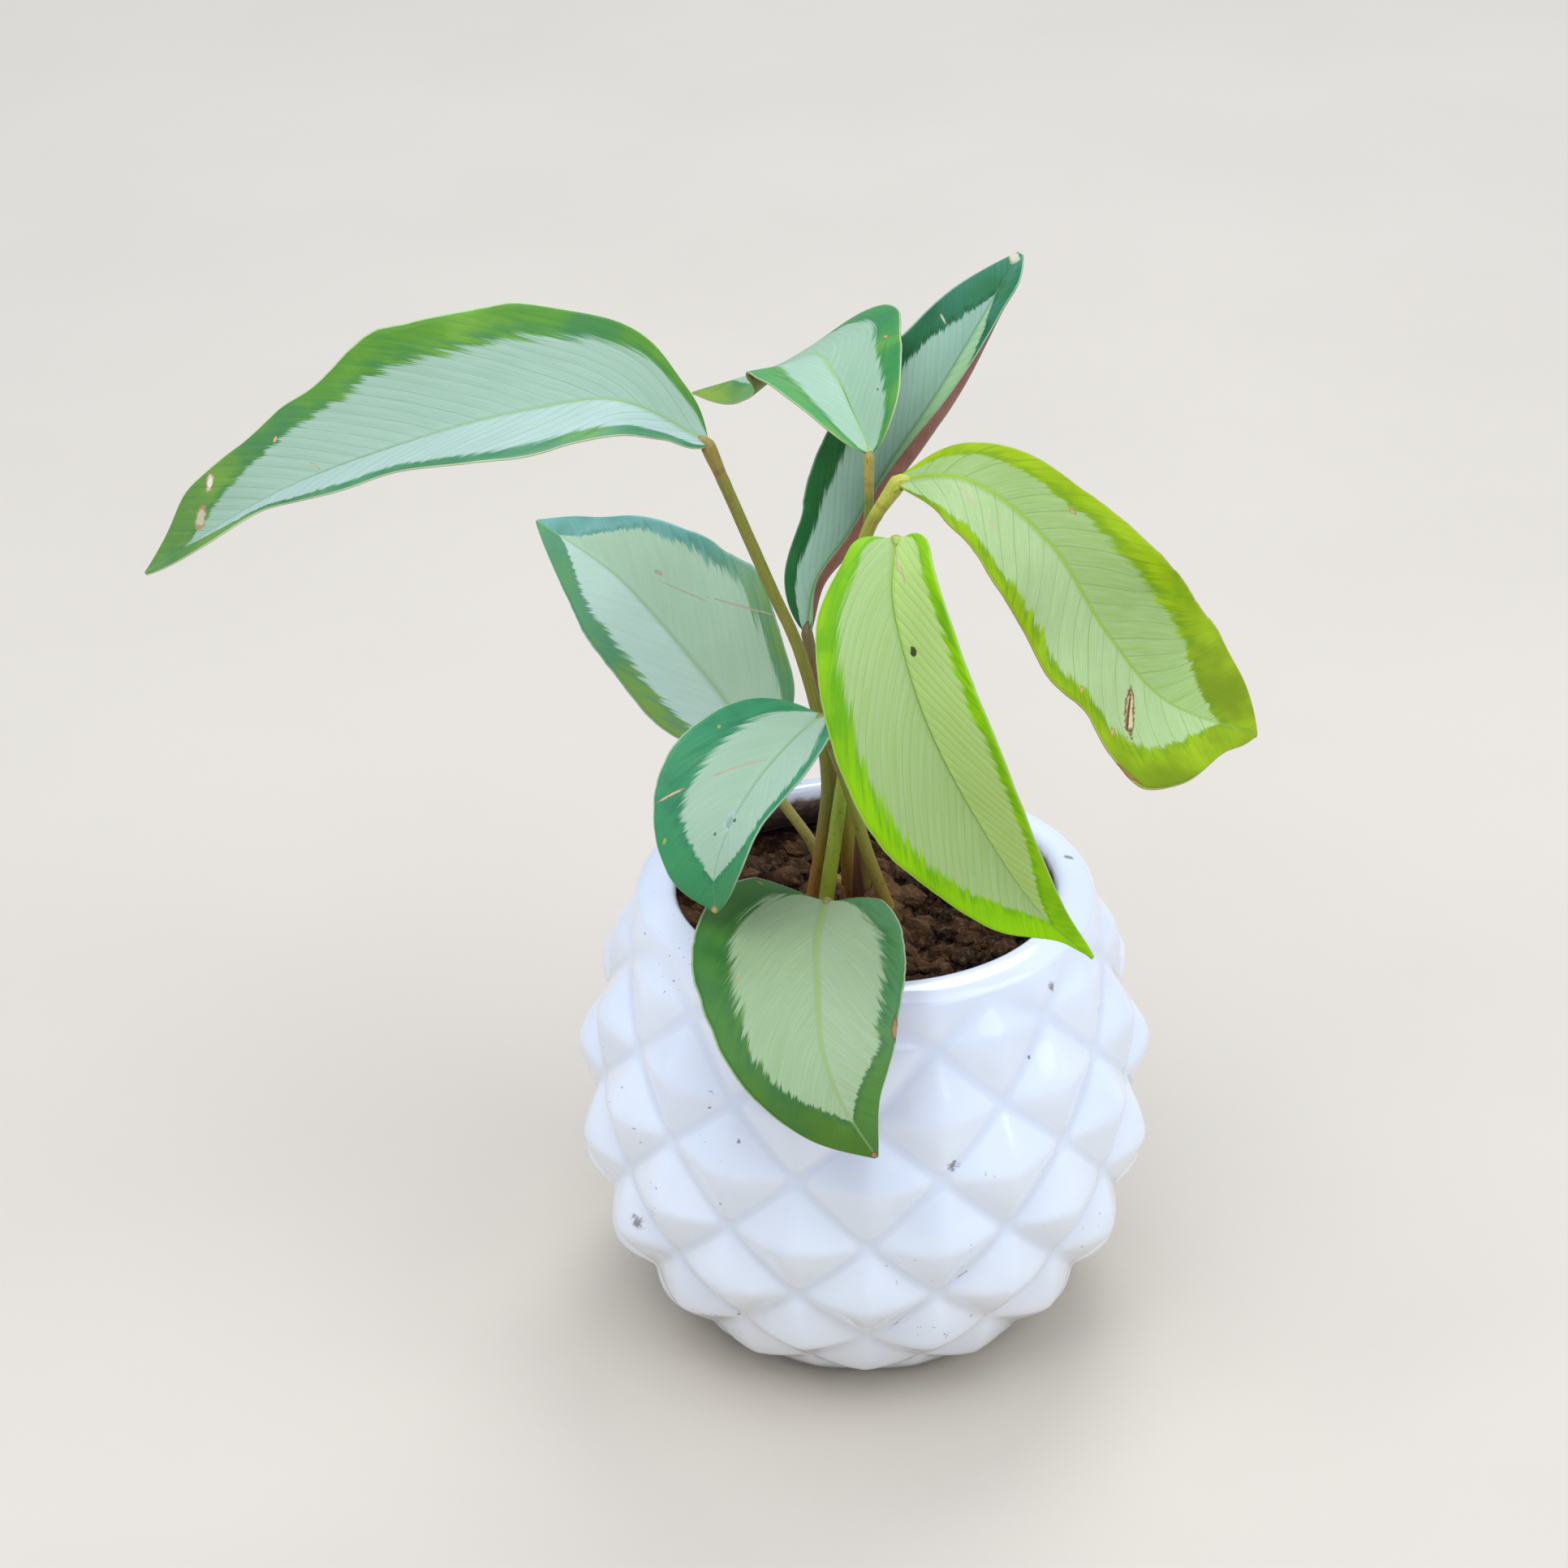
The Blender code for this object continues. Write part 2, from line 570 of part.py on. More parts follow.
def main():
    for item in list(bpy.data.objects):
        bpy.data.objects.remove(item)
    parts = bpy.data.collections.new("potted_calathea")
    cutters = bpy.data.collections.new("cutters")
    for collection in (parts, cutters):
        bpy.context.scene.collection.children.link(collection)
    pot = make_pot(parts)
    paint(pot, "pot")
    smooth_shade(pot, POT_CREASE_ANGLE)
    for name, leaf in LEAVES.items():
        blade = make_leaf(name, leaf, parts)
        paint(blade, LEAF_FINISHES.get(name, "leaf"))
        smooth_shade(blade, PLANT_CREASE_ANGLE)
    for name, stem in STEMS.items():
        rod = make_stem(name, stem, parts, cutters)
        paint(rod, stem["finish"])
        smooth_shade(rod, PLANT_CREASE_ANGLE)
    for name, sheath in SHEATHS.items():
        scale = make_sheath(name, sheath, parts, cutters)
        paint(scale, "sheath")
        smooth_shade(scale, PLANT_CREASE_ANGLE)
    soil = make_soil(parts, cutters)
    paint(soil, "soil")


main()
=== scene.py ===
# A calathea with eight leaves in a round white glazed pot with a soft diamond relief.
# Places and sizes are in millimetres and angles in degrees, and the meshes are written in metres.
import math

import bpy
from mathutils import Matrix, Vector, noise


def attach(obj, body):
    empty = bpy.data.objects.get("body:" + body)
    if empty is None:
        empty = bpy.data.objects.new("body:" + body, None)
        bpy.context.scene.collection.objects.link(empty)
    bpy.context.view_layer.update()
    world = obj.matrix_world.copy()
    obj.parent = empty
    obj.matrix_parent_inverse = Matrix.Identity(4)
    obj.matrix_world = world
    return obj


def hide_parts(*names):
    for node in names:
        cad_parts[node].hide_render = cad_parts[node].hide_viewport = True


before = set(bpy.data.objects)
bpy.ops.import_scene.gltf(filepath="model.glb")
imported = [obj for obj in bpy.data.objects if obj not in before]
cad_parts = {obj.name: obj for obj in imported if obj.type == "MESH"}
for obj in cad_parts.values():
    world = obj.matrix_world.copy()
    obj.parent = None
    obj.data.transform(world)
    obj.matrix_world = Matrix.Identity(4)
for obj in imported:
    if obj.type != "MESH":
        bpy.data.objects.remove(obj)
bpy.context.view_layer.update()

mm = 0.001
mapUnit = 10.0  # the maps called span run in centimetres
fullTurn = 2.0 * math.pi
scene = bpy.context.scene


def metres(values):
    return [value * mm for value in values]


# the next functions make the curves that the solids follow too
def smoothstep(value):
    value = min(max(value, 0.0), 1.0)
    return value * value * (3.0 - 2.0 * value)


def mix(first, last, share):
    return first + (last - first) * share


def direction(angles):  # compass angle from +X and height above the horizon
    compass, height = (math.radians(angle) for angle in angles)
    level = math.cos(height)
    return Vector((math.cos(compass) * level, math.sin(compass) * level, math.sin(height)))


def curvePoint(before, start, end, after, share):
    step = end - start
    leave = ((start - before).normalized() + step.normalized()).normalized() * step.length
    arrive = (step.normalized() + (after - end).normalized()).normalized() * step.length
    turned = share - 1.0
    return (start + step * smoothstep(share)
            + leave * share * turned * turned + arrive * share * share * turned)


def withEnds(points):
    knots = [Vector(point) for point in points]
    return [2 * knots[0] - knots[1], *knots, 2 * knots[-1] - knots[-2]]


def smoothPath(points, shares):  # places at shares of the curve's length
    knots = withEnds(points)
    fineSteps = 24
    fine = [curvePoint(*four, step / fineSteps)
            for four in zip(knots, knots[1:], knots[2:], knots[3:]) for step in range(fineSteps)]
    fine.append(knots[-2])
    reached = [0.0]
    for one, other in zip(fine, fine[1:]):
        reached.append(reached[-1] + (other - one).length)
    places = []
    piece = 0
    for share in shares:
        wanted = share * reached[-1]
        while piece < len(fine) - 2 and reached[piece + 1] < wanted:
            piece += 1
        part = (wanted - reached[piece]) / (reached[piece + 1] - reached[piece])
        places.append(fine[piece].lerp(fine[piece + 1], part))
    return places


def directionsAlong(places):
    ahead = places[1:] + [places[-1]]
    behind = [places[0]] + places[:-1]
    return [(after - before).normalized() for after, before in zip(ahead, behind)]


def pathLength(places):
    return sum((after - before).length for before, after in zip(places, places[1:]))


def meshFrom(name, places, faces, maps=None, attributes=None, finishIndex=None):
    mesh = bpy.data.meshes.new(name)
    mesh.from_pydata([place * mm for place in places], [], faces)
    for mapName, values in (maps or {}).items():
        layer = mesh.uv_layers.new(name=mapName)
        for loop in mesh.loops:
            layer.data[loop.index].uv = values[loop.vertex_index]
    for attributeName, values in (attributes or {}).items():
        layer = mesh.attributes.new(attributeName, "FLOAT", "POINT")
        layer.data.foreach_set("value", values)
    if finishIndex:
        mesh.polygons.foreach_set("material_index", finishIndex)
    mesh.shade_smooth()
    return mesh


def addObject(name, data):
    item = bpy.data.objects.new(name, data)
    scene.collection.objects.link(item)
    return item


def placePiece(name, mesh, finishes, nodes):
    piece = addObject(name, mesh)
    for finish in finishes:
        mesh.materials.append(finish)
    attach(piece, "root")
    if nodes:
        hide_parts(*nodes)


def turnedMesh(name, profile, steps, attributes=None):
    # profile runs from the axis at the bottom, out and up, and back to the axis
    rings = profile[1:-1]
    places = [Vector((0, 0, profile[0][1])), Vector((0, 0, profile[-1][1]))]
    for radius, height in rings:
        for step in range(steps):
            angle = fullTurn * step / steps
            places.append(Vector((radius * math.cos(angle), radius * math.sin(angle), height)))
    faces = []
    last = 2 + (len(rings) - 1) * steps
    for step in range(steps):
        after = (step + 1) % steps
        faces.append((0, 2 + after, 2 + step))
        faces.append((1, last + step, last + after))
        for ring in range(len(rings) - 1):
            low = 2 + ring * steps
            high = low + steps
            faces.append((low + step, low + after, high + after, high + step))
    values = {key: [ring[0], ring[-1], *[value for value in ring[1:-1] for _ in range(steps)]]
              for key, ring in (attributes or {}).items()}
    return meshFrom(name, places, faces, attributes=values)


def linear(value):
    return value / 12.92 if value <= 0.04045 else ((value + 0.055) / 1.055) ** 2.4


def colour(text):  # a web colour as linear values
    return [linear(int(text[place:place + 2], 16) / 255.0) for place in (1, 3, 5)] + [1.0]


# short ways to add nodes. All but addNode and the two places find the tree by their inputs.
def isSocket(value):
    return isinstance(value, bpy.types.NodeSocket)


def feed(socket, value):  # links another socket, or sets a web colour or a plain value
    if isSocket(value):
        socket.id_data.links.new(value, socket)
    elif isinstance(value, str) and value.startswith("#"):
        socket.default_value = colour(value)
    else:
        socket.default_value = value


def addNode(tree, kind, inputs=(), **settings):
    node = tree.nodes.new(kind)
    for key, value in settings.items():
        setattr(node, key, value)
    for key, value in dict(inputs).items():
        feed(node.inputs[key], value)
    return node


def nodeAfter(kind, inputs, **settings):
    given = dict(inputs)
    tree = next(value.id_data for value in given.values() if isSocket(value))
    return addNode(tree, kind, given, **settings)


def objectPlace(tree):
    return addNode(tree, "ShaderNodeTexCoord").outputs["Object"]


def mapPlace(tree, mapName):
    return addNode(tree, "ShaderNodeUVMap", uv_map=mapName).outputs["UV"]


def calc(operation, *values):
    return nodeAfter("ShaderNodeMath", enumerate(values), operation=operation).outputs[0]


def plus(one, other):
    return calc("ADD", one, other)


def minus(one, other):
    return calc("SUBTRACT", one, other)


def times(one, other):
    return calc("MULTIPLY", one, other)


def scaled(value, factor, added):
    return calc("MULTIPLY_ADD", value, factor, added)


def sway(pattern, size):  # a pattern of 0 to 1 made to swing about 0
    return scaled(pattern, size, -size / 2.0)


def ramp(value, low, high, bottom=0.0, top=1.0):  # a soft step from bottom to top
    inputs = enumerate((value, low, high, bottom, top))
    return nodeAfter("ShaderNodeMapRange", inputs, interpolation_type="SMOOTHSTEP").outputs[0]


def blend(share, first, second, mode="MIX"):
    inputs = {0: share, 6: first, 7: second}
    return nodeAfter("ShaderNodeMix", inputs, data_type="RGBA", blend_type=mode).outputs[2]


def cover(base, tint, mask, strength):  # lays a tint over a colour where a mask shows it
    return blend(times(mask, strength), base, tint)


def wash(base, tint, pattern, low, high, strength=1.0):  # shown from low to high in a pattern
    return blend(ramp(pattern, low, high, 0.0, strength), base, tint)


def noiseAt(vector, scale, detail=2.0, roughness=0.5):
    inputs = {"Vector": vector, "Scale": scale, "Detail": detail, "Roughness": roughness}
    return nodeAfter("ShaderNodeTexNoise", inputs).outputs["Fac"]


def chance(value):  # a random number for each whole value
    return nodeAfter("ShaderNodeTexWhiteNoise", {"W": value}, noise_dimensions="1D").outputs["Value"]


def split(vector):
    return nodeAfter("ShaderNodeSeparateXYZ", {0: vector}).outputs


def join(x, y, z=0.0):
    return nodeAfter("ShaderNodeCombineXYZ", enumerate((x, y, z))).outputs[0]


def vectorCalc(operation, first, second=None, output="Vector"):
    inputs = {0: first}
    if second is not None:
        inputs["Scale" if operation == "SCALE" else 1] = second
    return nodeAfter("ShaderNodeVectorMath", inputs, operation=operation).outputs[output]


def distanceTo(place, spot):
    return vectorCalc("DISTANCE", place, spot, "Value")


def nearLine(place, start, end):  # distance to the straight line between two spots
    line = end - start
    offset = vectorCalc("SUBTRACT", place, start)
    along = vectorCalc("DOT_PRODUCT", offset, line / line.length_squared, "Value")
    within = calc("MINIMUM", calc("MAXIMUM", along, 0.0), 1.0)
    return distanceTo(offset, vectorCalc("SCALE", line, within))


def bumpFrom(height, distance, strength=1.0, under=None):
    inputs = {"Strength": strength, "Distance": distance, "Height": height}
    if under is not None:
        inputs["Normal"] = under
    return nodeAfter("ShaderNodeBump", inputs).outputs[0]


def newFinish(name):
    finish = bpy.data.materials.new(name)
    finish.use_nodes = True
    return finish, finish.node_tree


def setShader(finish, values):
    sockets = finish.node_tree.nodes["Principled BSDF"].inputs
    for key, value in values.items():
        feed(sockets[key], value)
    return finish


def newTree(name, inputs):  # a whole number gets a whole input
    tree = bpy.data.node_groups.new(name, "GeometryNodeTree")
    face = tree.interface
    face.new_socket("Geometry", in_out="INPUT", socket_type="NodeSocketGeometry")
    for key, number in inputs.items():
        kind = "NodeSocketInt" if isinstance(number, int) else "NodeSocketFloat"
        face.new_socket(key, in_out="INPUT", socket_type=kind).default_value = number
    face.new_socket("Geometry", in_out="OUTPUT", socket_type="NodeSocketGeometry")
    return tree, addNode(tree, "NodeGroupInput").outputs


def finishTree(tree, geometry, finish):
    real = addNode(tree, "GeometryNodeRealizeInstances", {0: geometry}).outputs[0]
    painted = addNode(tree, "GeometryNodeSetMaterial", {"Geometry": real, "Material": finish})
    addNode(tree, "NodeGroupOutput", {0: painted.outputs[0]})
    return tree


def applyTree(mesh, tree, name, values=None):  # what the tree makes of a mesh, as a plain mesh
    item = addObject(name + "Base", mesh)
    modifier = item.modifiers.new(tree.name, "NODES")
    modifier.node_group = tree
    sockets = {socket.name: socket.identifier for socket in tree.interface.items_tree
               if socket.in_out == "INPUT"}
    for key, number in (values or {}).items():
        modifier[sockets[key]] = number
    evaluated = item.evaluated_get(bpy.context.evaluated_depsgraph_get())
    plain = bpy.data.meshes.new_from_object(evaluated)
    plain.name = name
    bpy.data.objects.remove(item)
    return plain


# halfRows and footEdge are those of the solid: radius, height and share of the relief. The lip is
# a little sharper at the mouth. Smudges are x, y, z and size in mm. Every fade is a pair of
# heights or radii in mm, from where a tint starts to where it is full.
pot = {
    "halfRows": ((49.8, 102.3, 0.0), (52.6, 93.2, 0.45), (56.5, 78.4, 0.8), (59.1, 64.2, 0.95),
                 (59.5, 48.5, 1.0), (57.8, 34.0, 1.0), (53.4, 20.8, 0.85), (46.6, 9.6, 0.5),
                 (39.0, 1.6, 0.1)),
    "lip": ((48.2, 103.5), (46.4, 104.2), (44.4, 104.6), (42.7, 104.3), (41.5, 102.9),
            (41.5, 100.8), (42.1, 99.0)),
    "footEdge": ((37.4, 0.5), (36.4, 0.0)),
    "wall": 4.5, "floor": 6.0, "floorRadius": 34.0, "innerRows": (1.0, 7.0), "innerStep": 0.5,
    "diamondsRound": 12, "stepsPerDiamond": 36, "ringsPerHalfRow": 18, "lipSteps": 26,
    "reliefHeight": 5.4, "swell": 0.42, "grooveWidth": 0.10, "ridgeSoftness": 0.30,
    "peak": 0.96, "peakSoftness": 0.5,
    # grooveShadeBlue is painted shade laid into the grooves between the diamonds, fading towards the
    # rim; the body's faint random mottle uses the same bluish grey
    "glaze": "#F4F8FD", "grooveShadeBlue": "#CFD8EA", "floorBounceTint": "#F3F2F0", "speck": "#5A4A3A",
    "grooveShadeShown": 0.3, "grooveShadeReach": 0.10, "grooveShadeFade": (102.0, 90.0), "floorBounceFade": (55.0, 0.0),
    "smudges": ((44.8, 9.6, 104.5, 1.5), (38.7, -33.9, 97.8, 1.6), (17.7, -56.2, 67.5, 1.8),
                (-50.1, -34.9, 37.7, 2.2), (-27.4, -53.2, 71.4, 0.7), (33.9, -43.0, 86.0, 0.6)),
    "smudgeRagged": 2.4, "smudgeEdge": (2.1, 1.5), "smudgeShown": 0.75,
    "hairline": ((21.3, -55.0, 39.2), (13.0, -57.2, 33.7), (4.9, -55.0, 24.1)),
    "hairRagged": 1.0, "hairEdge": (0.9, 0.5), "hairShown": 0.6,
    # soil has stained the inside of a leaning cone, up to the edge of the mouth
    "dirt": "#5E3C22", "dust": "#9A744C", "stainShown": 0.94, "stainRagged": -4.0,
    "stainTopFade": (101.2, 99.6), "stainFootFade": (70.0, 80.0),
    "coneLean": 0.35, "coneFade": (81.4, 80.4),
    # floorBounceTint, over the heights of floorBounceFade, is painted light: a warmer white towards
    # the foot that stands in for light bounced up from the floor
    "floorBounceShown": 0.8, "mottleShown": 0.2, "speckShown": 0.7,
    "roughness": (0.09, 0.22), "stainRoughness": 0.7, "coat": 0.4, "coatRoughness": 0.06,
    "waveHeight": 1.1, "pitHeight": 0.02,
}


def bodyPoint(row):  # radius, height and share of relief on the pot's plain body
    knots = withEnds(pot["halfRows"])
    first = min(int(row), len(pot["halfRows"]) - 2)
    return curvePoint(*knots[first:first + 4], row - first)


def outwardAt(row):
    near = 1.0 / 3.0
    above = bodyPoint(max(row - near, 0.0))
    below = bodyPoint(min(row + near, len(pot["halfRows"]) - 1.0))
    return Vector((above.y - below.y, below.x - above.x)).normalized()


def innerProfile(inset):
    first, last = pot["innerRows"]
    thick = pot["wall"] + inset
    wall = []
    for count in range(int((last - first) / pot["innerStep"]) + 1):
        row = first + count * pot["innerStep"]
        point = bodyPoint(row)
        outward = outwardAt(row)
        wall.append((point.x - outward.x * thick, point.y - outward.y * thick))
    bottom = pot["floor"] + inset
    return [*wall, (pot["floorRadius"] - inset, bottom), (0.0, bottom)]


def potMesh():
    rings = pot["ringsPerHalfRow"]
    last = len(pot["halfRows"]) - 1
    outside = [bodyPoint(ring / rings) for ring in range(last * rings + 1)]
    rim = outside[0]
    inside = innerProfile(0.0)
    lipKnots = [(rim.x, rim.y, 0.0), *[(*point, 0.0) for point in pot["lip"]], (*inside[0], 0.0)]
    lipShares = [step / pot["lipSteps"] for step in range(1, pot["lipSteps"])]
    foot = [(0.0, 0.0), *reversed(pot["footEdge"])]
    top = [(place.x, place.y) for place in smoothPath(lipKnots, lipShares)] + inside
    profile = [*foot, *[(point.x, point.y) for point in reversed(outside)], *top]
    rows = [last - ring / rings for ring in range(len(outside))]
    raised = [point.z for point in reversed(outside)]
    flat = [0.0] * len(top)
    relief = {
        "halfRow": [float(last)] * len(foot) + rows + flat,
        "reliefShare": [0.0] * len(foot) + raised + flat,
    }
    return turnedMesh("pot", profile, pot["diamondsRound"] * pot["stepsPerDiamond"], relief)


def diamondTree(finish):
    # raises the diamonds that lie between two sets of grooves, wound round the body both ways
    tree, given = newTree("diamondRelief", {
        "Diamonds round": float(pot["diamondsRound"]), "Relief height": pot["reliefHeight"] * mm,
        "Swell": pot["swell"], "Groove width": pot["grooveWidth"],
        "Ridge softness": pot["ridgeSoftness"], "Peak softness": pot["peakSoftness"],
    })

    def attribute(name):
        node = addNode(tree, "GeometryNodeInputNamedAttribute", {"Name": name})
        return node.outputs["Attribute"]

    def slope(line):  # rises from a groove to halfway between two
        away = minus(line, calc("ROUND", line))
        square = times(times(away, away), 4.0)
        width = times(given["Groove width"], given["Groove width"])
        return minus(calc("SQRT", plus(square, width)), given["Groove width"])

    place = split(addNode(tree, "GeometryNodeInputPosition").outputs[0])
    angle = plus(calc("ARCTAN2", place[1], place[0]), math.pi / 2.0)
    across = calc("DIVIDE", times(angle, given["Diamonds round"]), fullTurn)
    half = times(attribute("halfRow"), 0.5)
    lowest = calc("SMOOTH_MIN", slope(minus(across, half)), slope(plus(across, half)),
                  given["Ridge softness"])
    capped = calc("SMOOTH_MIN", lowest, pot["peak"], given["Peak softness"])
    swelling = plus(1.0, times(given["Swell"], minus(1.0, capped)))
    share = times(times(capped, swelling), attribute("reliefShare"))
    normal = addNode(tree, "GeometryNodeInputNormal").outputs[0]
    offset = vectorCalc("SCALE", normal, times(share, given["Relief height"]))
    move = nodeAfter("GeometryNodeSetPosition", {"Geometry": given["Geometry"], "Offset": offset})
    store = nodeAfter("GeometryNodeStoreNamedAttribute",
                      {"Geometry": move.outputs[0], "Name": "diamond", "Value": share})
    return finishTree(tree, store.outputs[0], finish)


def dirtOn(place):  # specks, smudges and a hairline, as a mask
    rare = ramp(noiseAt(place, 38.0, 1.0), 0.56, 0.62)
    dirty = times(times(ramp(noiseAt(place, 560.0), 0.71, 0.75), rare), pot["speckShown"])
    ragged = noiseAt(place, 900.0, 4.0, 0.7)
    marks = []
    for x, y, z, size in pot["smudges"]:
        away = distanceTo(place, Vector((x, y, z)) * mm)
        marks.append((away, size * pot["smudgeRagged"], [size * edge for edge in pot["smudgeEdge"]],
                      pot["smudgeShown"]))
    for start, end in zip(pot["hairline"], pot["hairline"][1:]):
        away = nearLine(place, Vector(start) * mm, Vector(end) * mm)
        marks.append((away, pot["hairRagged"], pot["hairEdge"], pot["hairShown"]))
    for away, rough, edges, shown in marks:
        spot = ramp(scaled(ragged, rough * mm, away), *metres(edges))
        dirty = calc("MAXIMUM", dirty, times(spot, shown))
    return dirty


def stainOn(place, parts):  # soil inside the mouth, as a mask
    flat = calc("SQRT", plus(times(parts[0], parts[0]), times(parts[1], parts[1])))
    reach = scaled(noiseAt(place, 190.0, 4.0, 0.6), pot["stainRagged"] * mm, parts[2])
    inside = ramp(scaled(parts[2], pot["coneLean"], flat), *metres(pot["coneFade"]))
    heights = times(ramp(reach, *metres(pot["stainTopFade"])),
                    ramp(parts[2], *metres(pot["stainFootFade"])))
    return times(heights, inside)


def glazeFinish():
    finish, tree = newFinish("whiteGlaze")
    place = objectPlace(tree)
    parts = split(place)
    diamond = addNode(tree, "ShaderNodeAttribute", attribute_name="diamond").outputs["Fac"]
    # painted shade: a bluish grey in the grooves between the diamonds, less towards the rim
    grooveShadeMask = times(ramp(diamond, pot["grooveShadeReach"], 0.0), ramp(parts[2], *metres(pot["grooveShadeFade"])))
    base = cover(pot["glaze"], pot["grooveShadeBlue"], grooveShadeMask, pot["grooveShadeShown"])
    # painted light: warmer towards the foot, as if lit from the floor below
    base = wash(base, pot["floorBounceTint"], parts[2], *metres(pot["floorBounceFade"]), pot["floorBounceShown"])
    mottled = noiseAt(place, 45.0, 3.0)
    base = wash(base, pot["grooveShadeBlue"], mottled, 0.35, 0.75, pot["mottleShown"])
    base = blend(dirtOn(place), base, pot["speck"])
    stain = stainOn(place, parts)
    soiled = wash(pot["dirt"], pot["dust"], noiseAt(place, 420.0, 4.0, 0.6), 0.45, 0.7)
    rough = ramp(noiseAt(place, 90.0, 4.0), 0.4, 0.8, *pot["roughness"])
    wavy = bumpFrom(noiseAt(place, 55.0), pot["waveHeight"] * mm)
    return setShader(finish, {
        "Base Color": cover(base, soiled, stain, pot["stainShown"]),
        "Roughness": scaled(stain, pot["stainRoughness"], rough),
        "Normal": bumpFrom(noiseAt(place, 700.0), pot["pitHeight"] * mm, 0.6, wavy),
        "Coat Weight": pot["coat"], "Coat Roughness": pot["coatRoughness"],
    })


placePiece("potBody", applyTree(potMesh(), diamondTree(glazeFinish()), "potBody"), [], ["pot"])
print("pot turned, diamonds raised and glazed")


# top, lumps, crown and edge are those of the solid. Grain layers are height and fineness, and
# clods and crumbs are a number and two radii.
soil = {
    "top": 92.0, "lumpSize": 11.0, "lumpHeight": 3.2, "crumbsPerLump": 2.3, "crumbShare": 0.5,
    "crownHeight": 3.0, "crownRadius": 22.0, "lastRing": 39.5, "edgeRadius": 44.0, "inset": 0.3,
    "steps": 132, "rings": 44, "grainSize": 4.6, "grainHeight": 1.5, "grainEdge": (42.0, 44.0),
    "grainLayers": ((1.0, 1.0), (0.5, 2.3), (0.3, 5.1)),
    "scatterRings": (6.0, 12.0, 18.0, 24.0, 30.0, 36.0, 40.0), "scatterSteps": 36,
    "clods": 130, "clodSize": (2.2, 4.6), "crumbs": 900, "crumbSize": (0.4, 1.3), "seed": 7,
    "roughScale": 620.0, "roughShare": 1.1,
    # litTopFade and litTopShown paint light on the raised tops of the lumps and clods, lighter the
    # higher they stand
    "dark": "#170B04", "middle": "#442810", "light": "#8E6840", "litTopFade": (93.5, 98.5),
    "litTopShown": 0.55, "roughness": (0.8, 1.0), "shine": 0.25, "coarseBump": 2.0, "fineBump": 0.4,
}


def soilHeight(x, y):
    reach = math.hypot(x, y)
    spot = Vector((x, y, 0.0)) / soil["lumpSize"]
    lumps = noise.noise(spot) + soil["crumbShare"] * noise.noise(soil["crumbsPerLump"] * spot)
    crown = soil["crownHeight"] * (1.0 - smoothstep(reach / soil["crownRadius"]))
    edge = 1.0 - smoothstep((reach - soil["lastRing"]) / (soil["edgeRadius"] - soil["lastRing"]))
    return soil["top"] + (soil["lumpHeight"] * lumps + crown) * edge


def grainHeight(x, y):
    spot = Vector((x, y, 3.0)) / soil["grainSize"]  # 3 keeps the grains apart from the lumps
    start, end = soil["grainEdge"]
    edge = 1.0 - smoothstep((math.hypot(x, y) - start) / (end - start))
    grains = sum(height * noise.noise(spot * fineness) for height, fineness in soil["grainLayers"])
    return soil["grainHeight"] * grains * edge


def soilMesh():
    wall = [point for point in innerProfile(soil["inset"]) if point[1] < soil["top"]]
    count = soil["rings"]
    rings = [(soil["edgeRadius"] * ring / count, soil["top"]) for ring in range(count + 1)]
    mesh = turnedMesh("soil", [*reversed(wall), *reversed(rings)], soil["steps"])
    justUnder = soil["top"] - 0.01
    for vertex in mesh.vertices:
        if vertex.co.z > justUnder * mm:
            x, y = vertex.co.x / mm, vertex.co.y / mm
            vertex.co.z = (soilHeight(x, y) + grainHeight(x, y)) * mm
    return mesh


def crumbTree(finish):
    # scatters rough clods and crumbs over the top of the soil
    tree, given = newTree("soilCrumbs", {
        "Least size": 1.0 * mm, "Greatest size": 3.0 * mm, "Density": 10000.0, "Seed": soil["seed"],
    })
    seed = given["Seed"]
    scatter = nodeAfter("GeometryNodeDistributePointsOnFaces",
                        {"Mesh": given["Geometry"], "Density": given["Density"], "Seed": seed})
    ball = addNode(tree, "GeometryNodeMeshIcoSphere", {"Radius": 1.0, "Subdivisions": 2})
    sizes = {2: given["Least size"], 3: given["Greatest size"], "Seed": seed}
    size = nodeAfter("FunctionNodeRandomValue", sizes, data_type="FLOAT")
    turns = {1: (fullTurn, fullTurn, fullTurn), "Seed": seed}
    turn = nodeAfter("FunctionNodeRandomValue", turns, data_type="FLOAT_VECTOR")
    spread = nodeAfter("GeometryNodeInstanceOnPoints", {
        "Points": scatter.outputs["Points"], "Instance": ball.outputs["Mesh"],
        "Rotation": turn.outputs[0], "Scale": size.outputs[1],
    })
    real = nodeAfter("GeometryNodeRealizeInstances", {0: spread.outputs[0]})
    rough = addNode(tree, "ShaderNodeTexNoise", {"Scale": soil["roughScale"], "Detail": 1.0})
    centred = vectorCalc("SUBTRACT", rough.outputs["Color"], (0.5, 0.5, 0.5))
    offset = vectorCalc("SCALE", centred, times(given["Greatest size"], soil["roughShare"]))
    move = nodeAfter("GeometryNodeSetPosition", {"Geometry": real.outputs[0], "Offset": offset})
    return finishTree(tree, move.outputs[0], finish)


def soilTop():  # the part of the soil that crumbs lie on
    steps = soil["scatterSteps"]
    rings = soil["scatterRings"]
    places = [Vector((0, 0, soilHeight(0, 0)))]
    for radius in rings:
        for step in range(steps):
            angle = step * math.pi / (steps / 2)
            x, y = radius * math.cos(angle), radius * math.sin(angle)
            places.append(Vector((x, y, soilHeight(x, y))))
    faces = [(0, 1 + step, 1 + (step + 1) % steps) for step in range(steps)]
    for ring in range(len(rings) - 1):
        low = 1 + ring * steps
        for step in range(steps):
            after = (step + 1) % steps
            faces.append((low + step, low + steps + step, low + steps + after, low + after))
    return meshFrom("soilTop", places, faces)


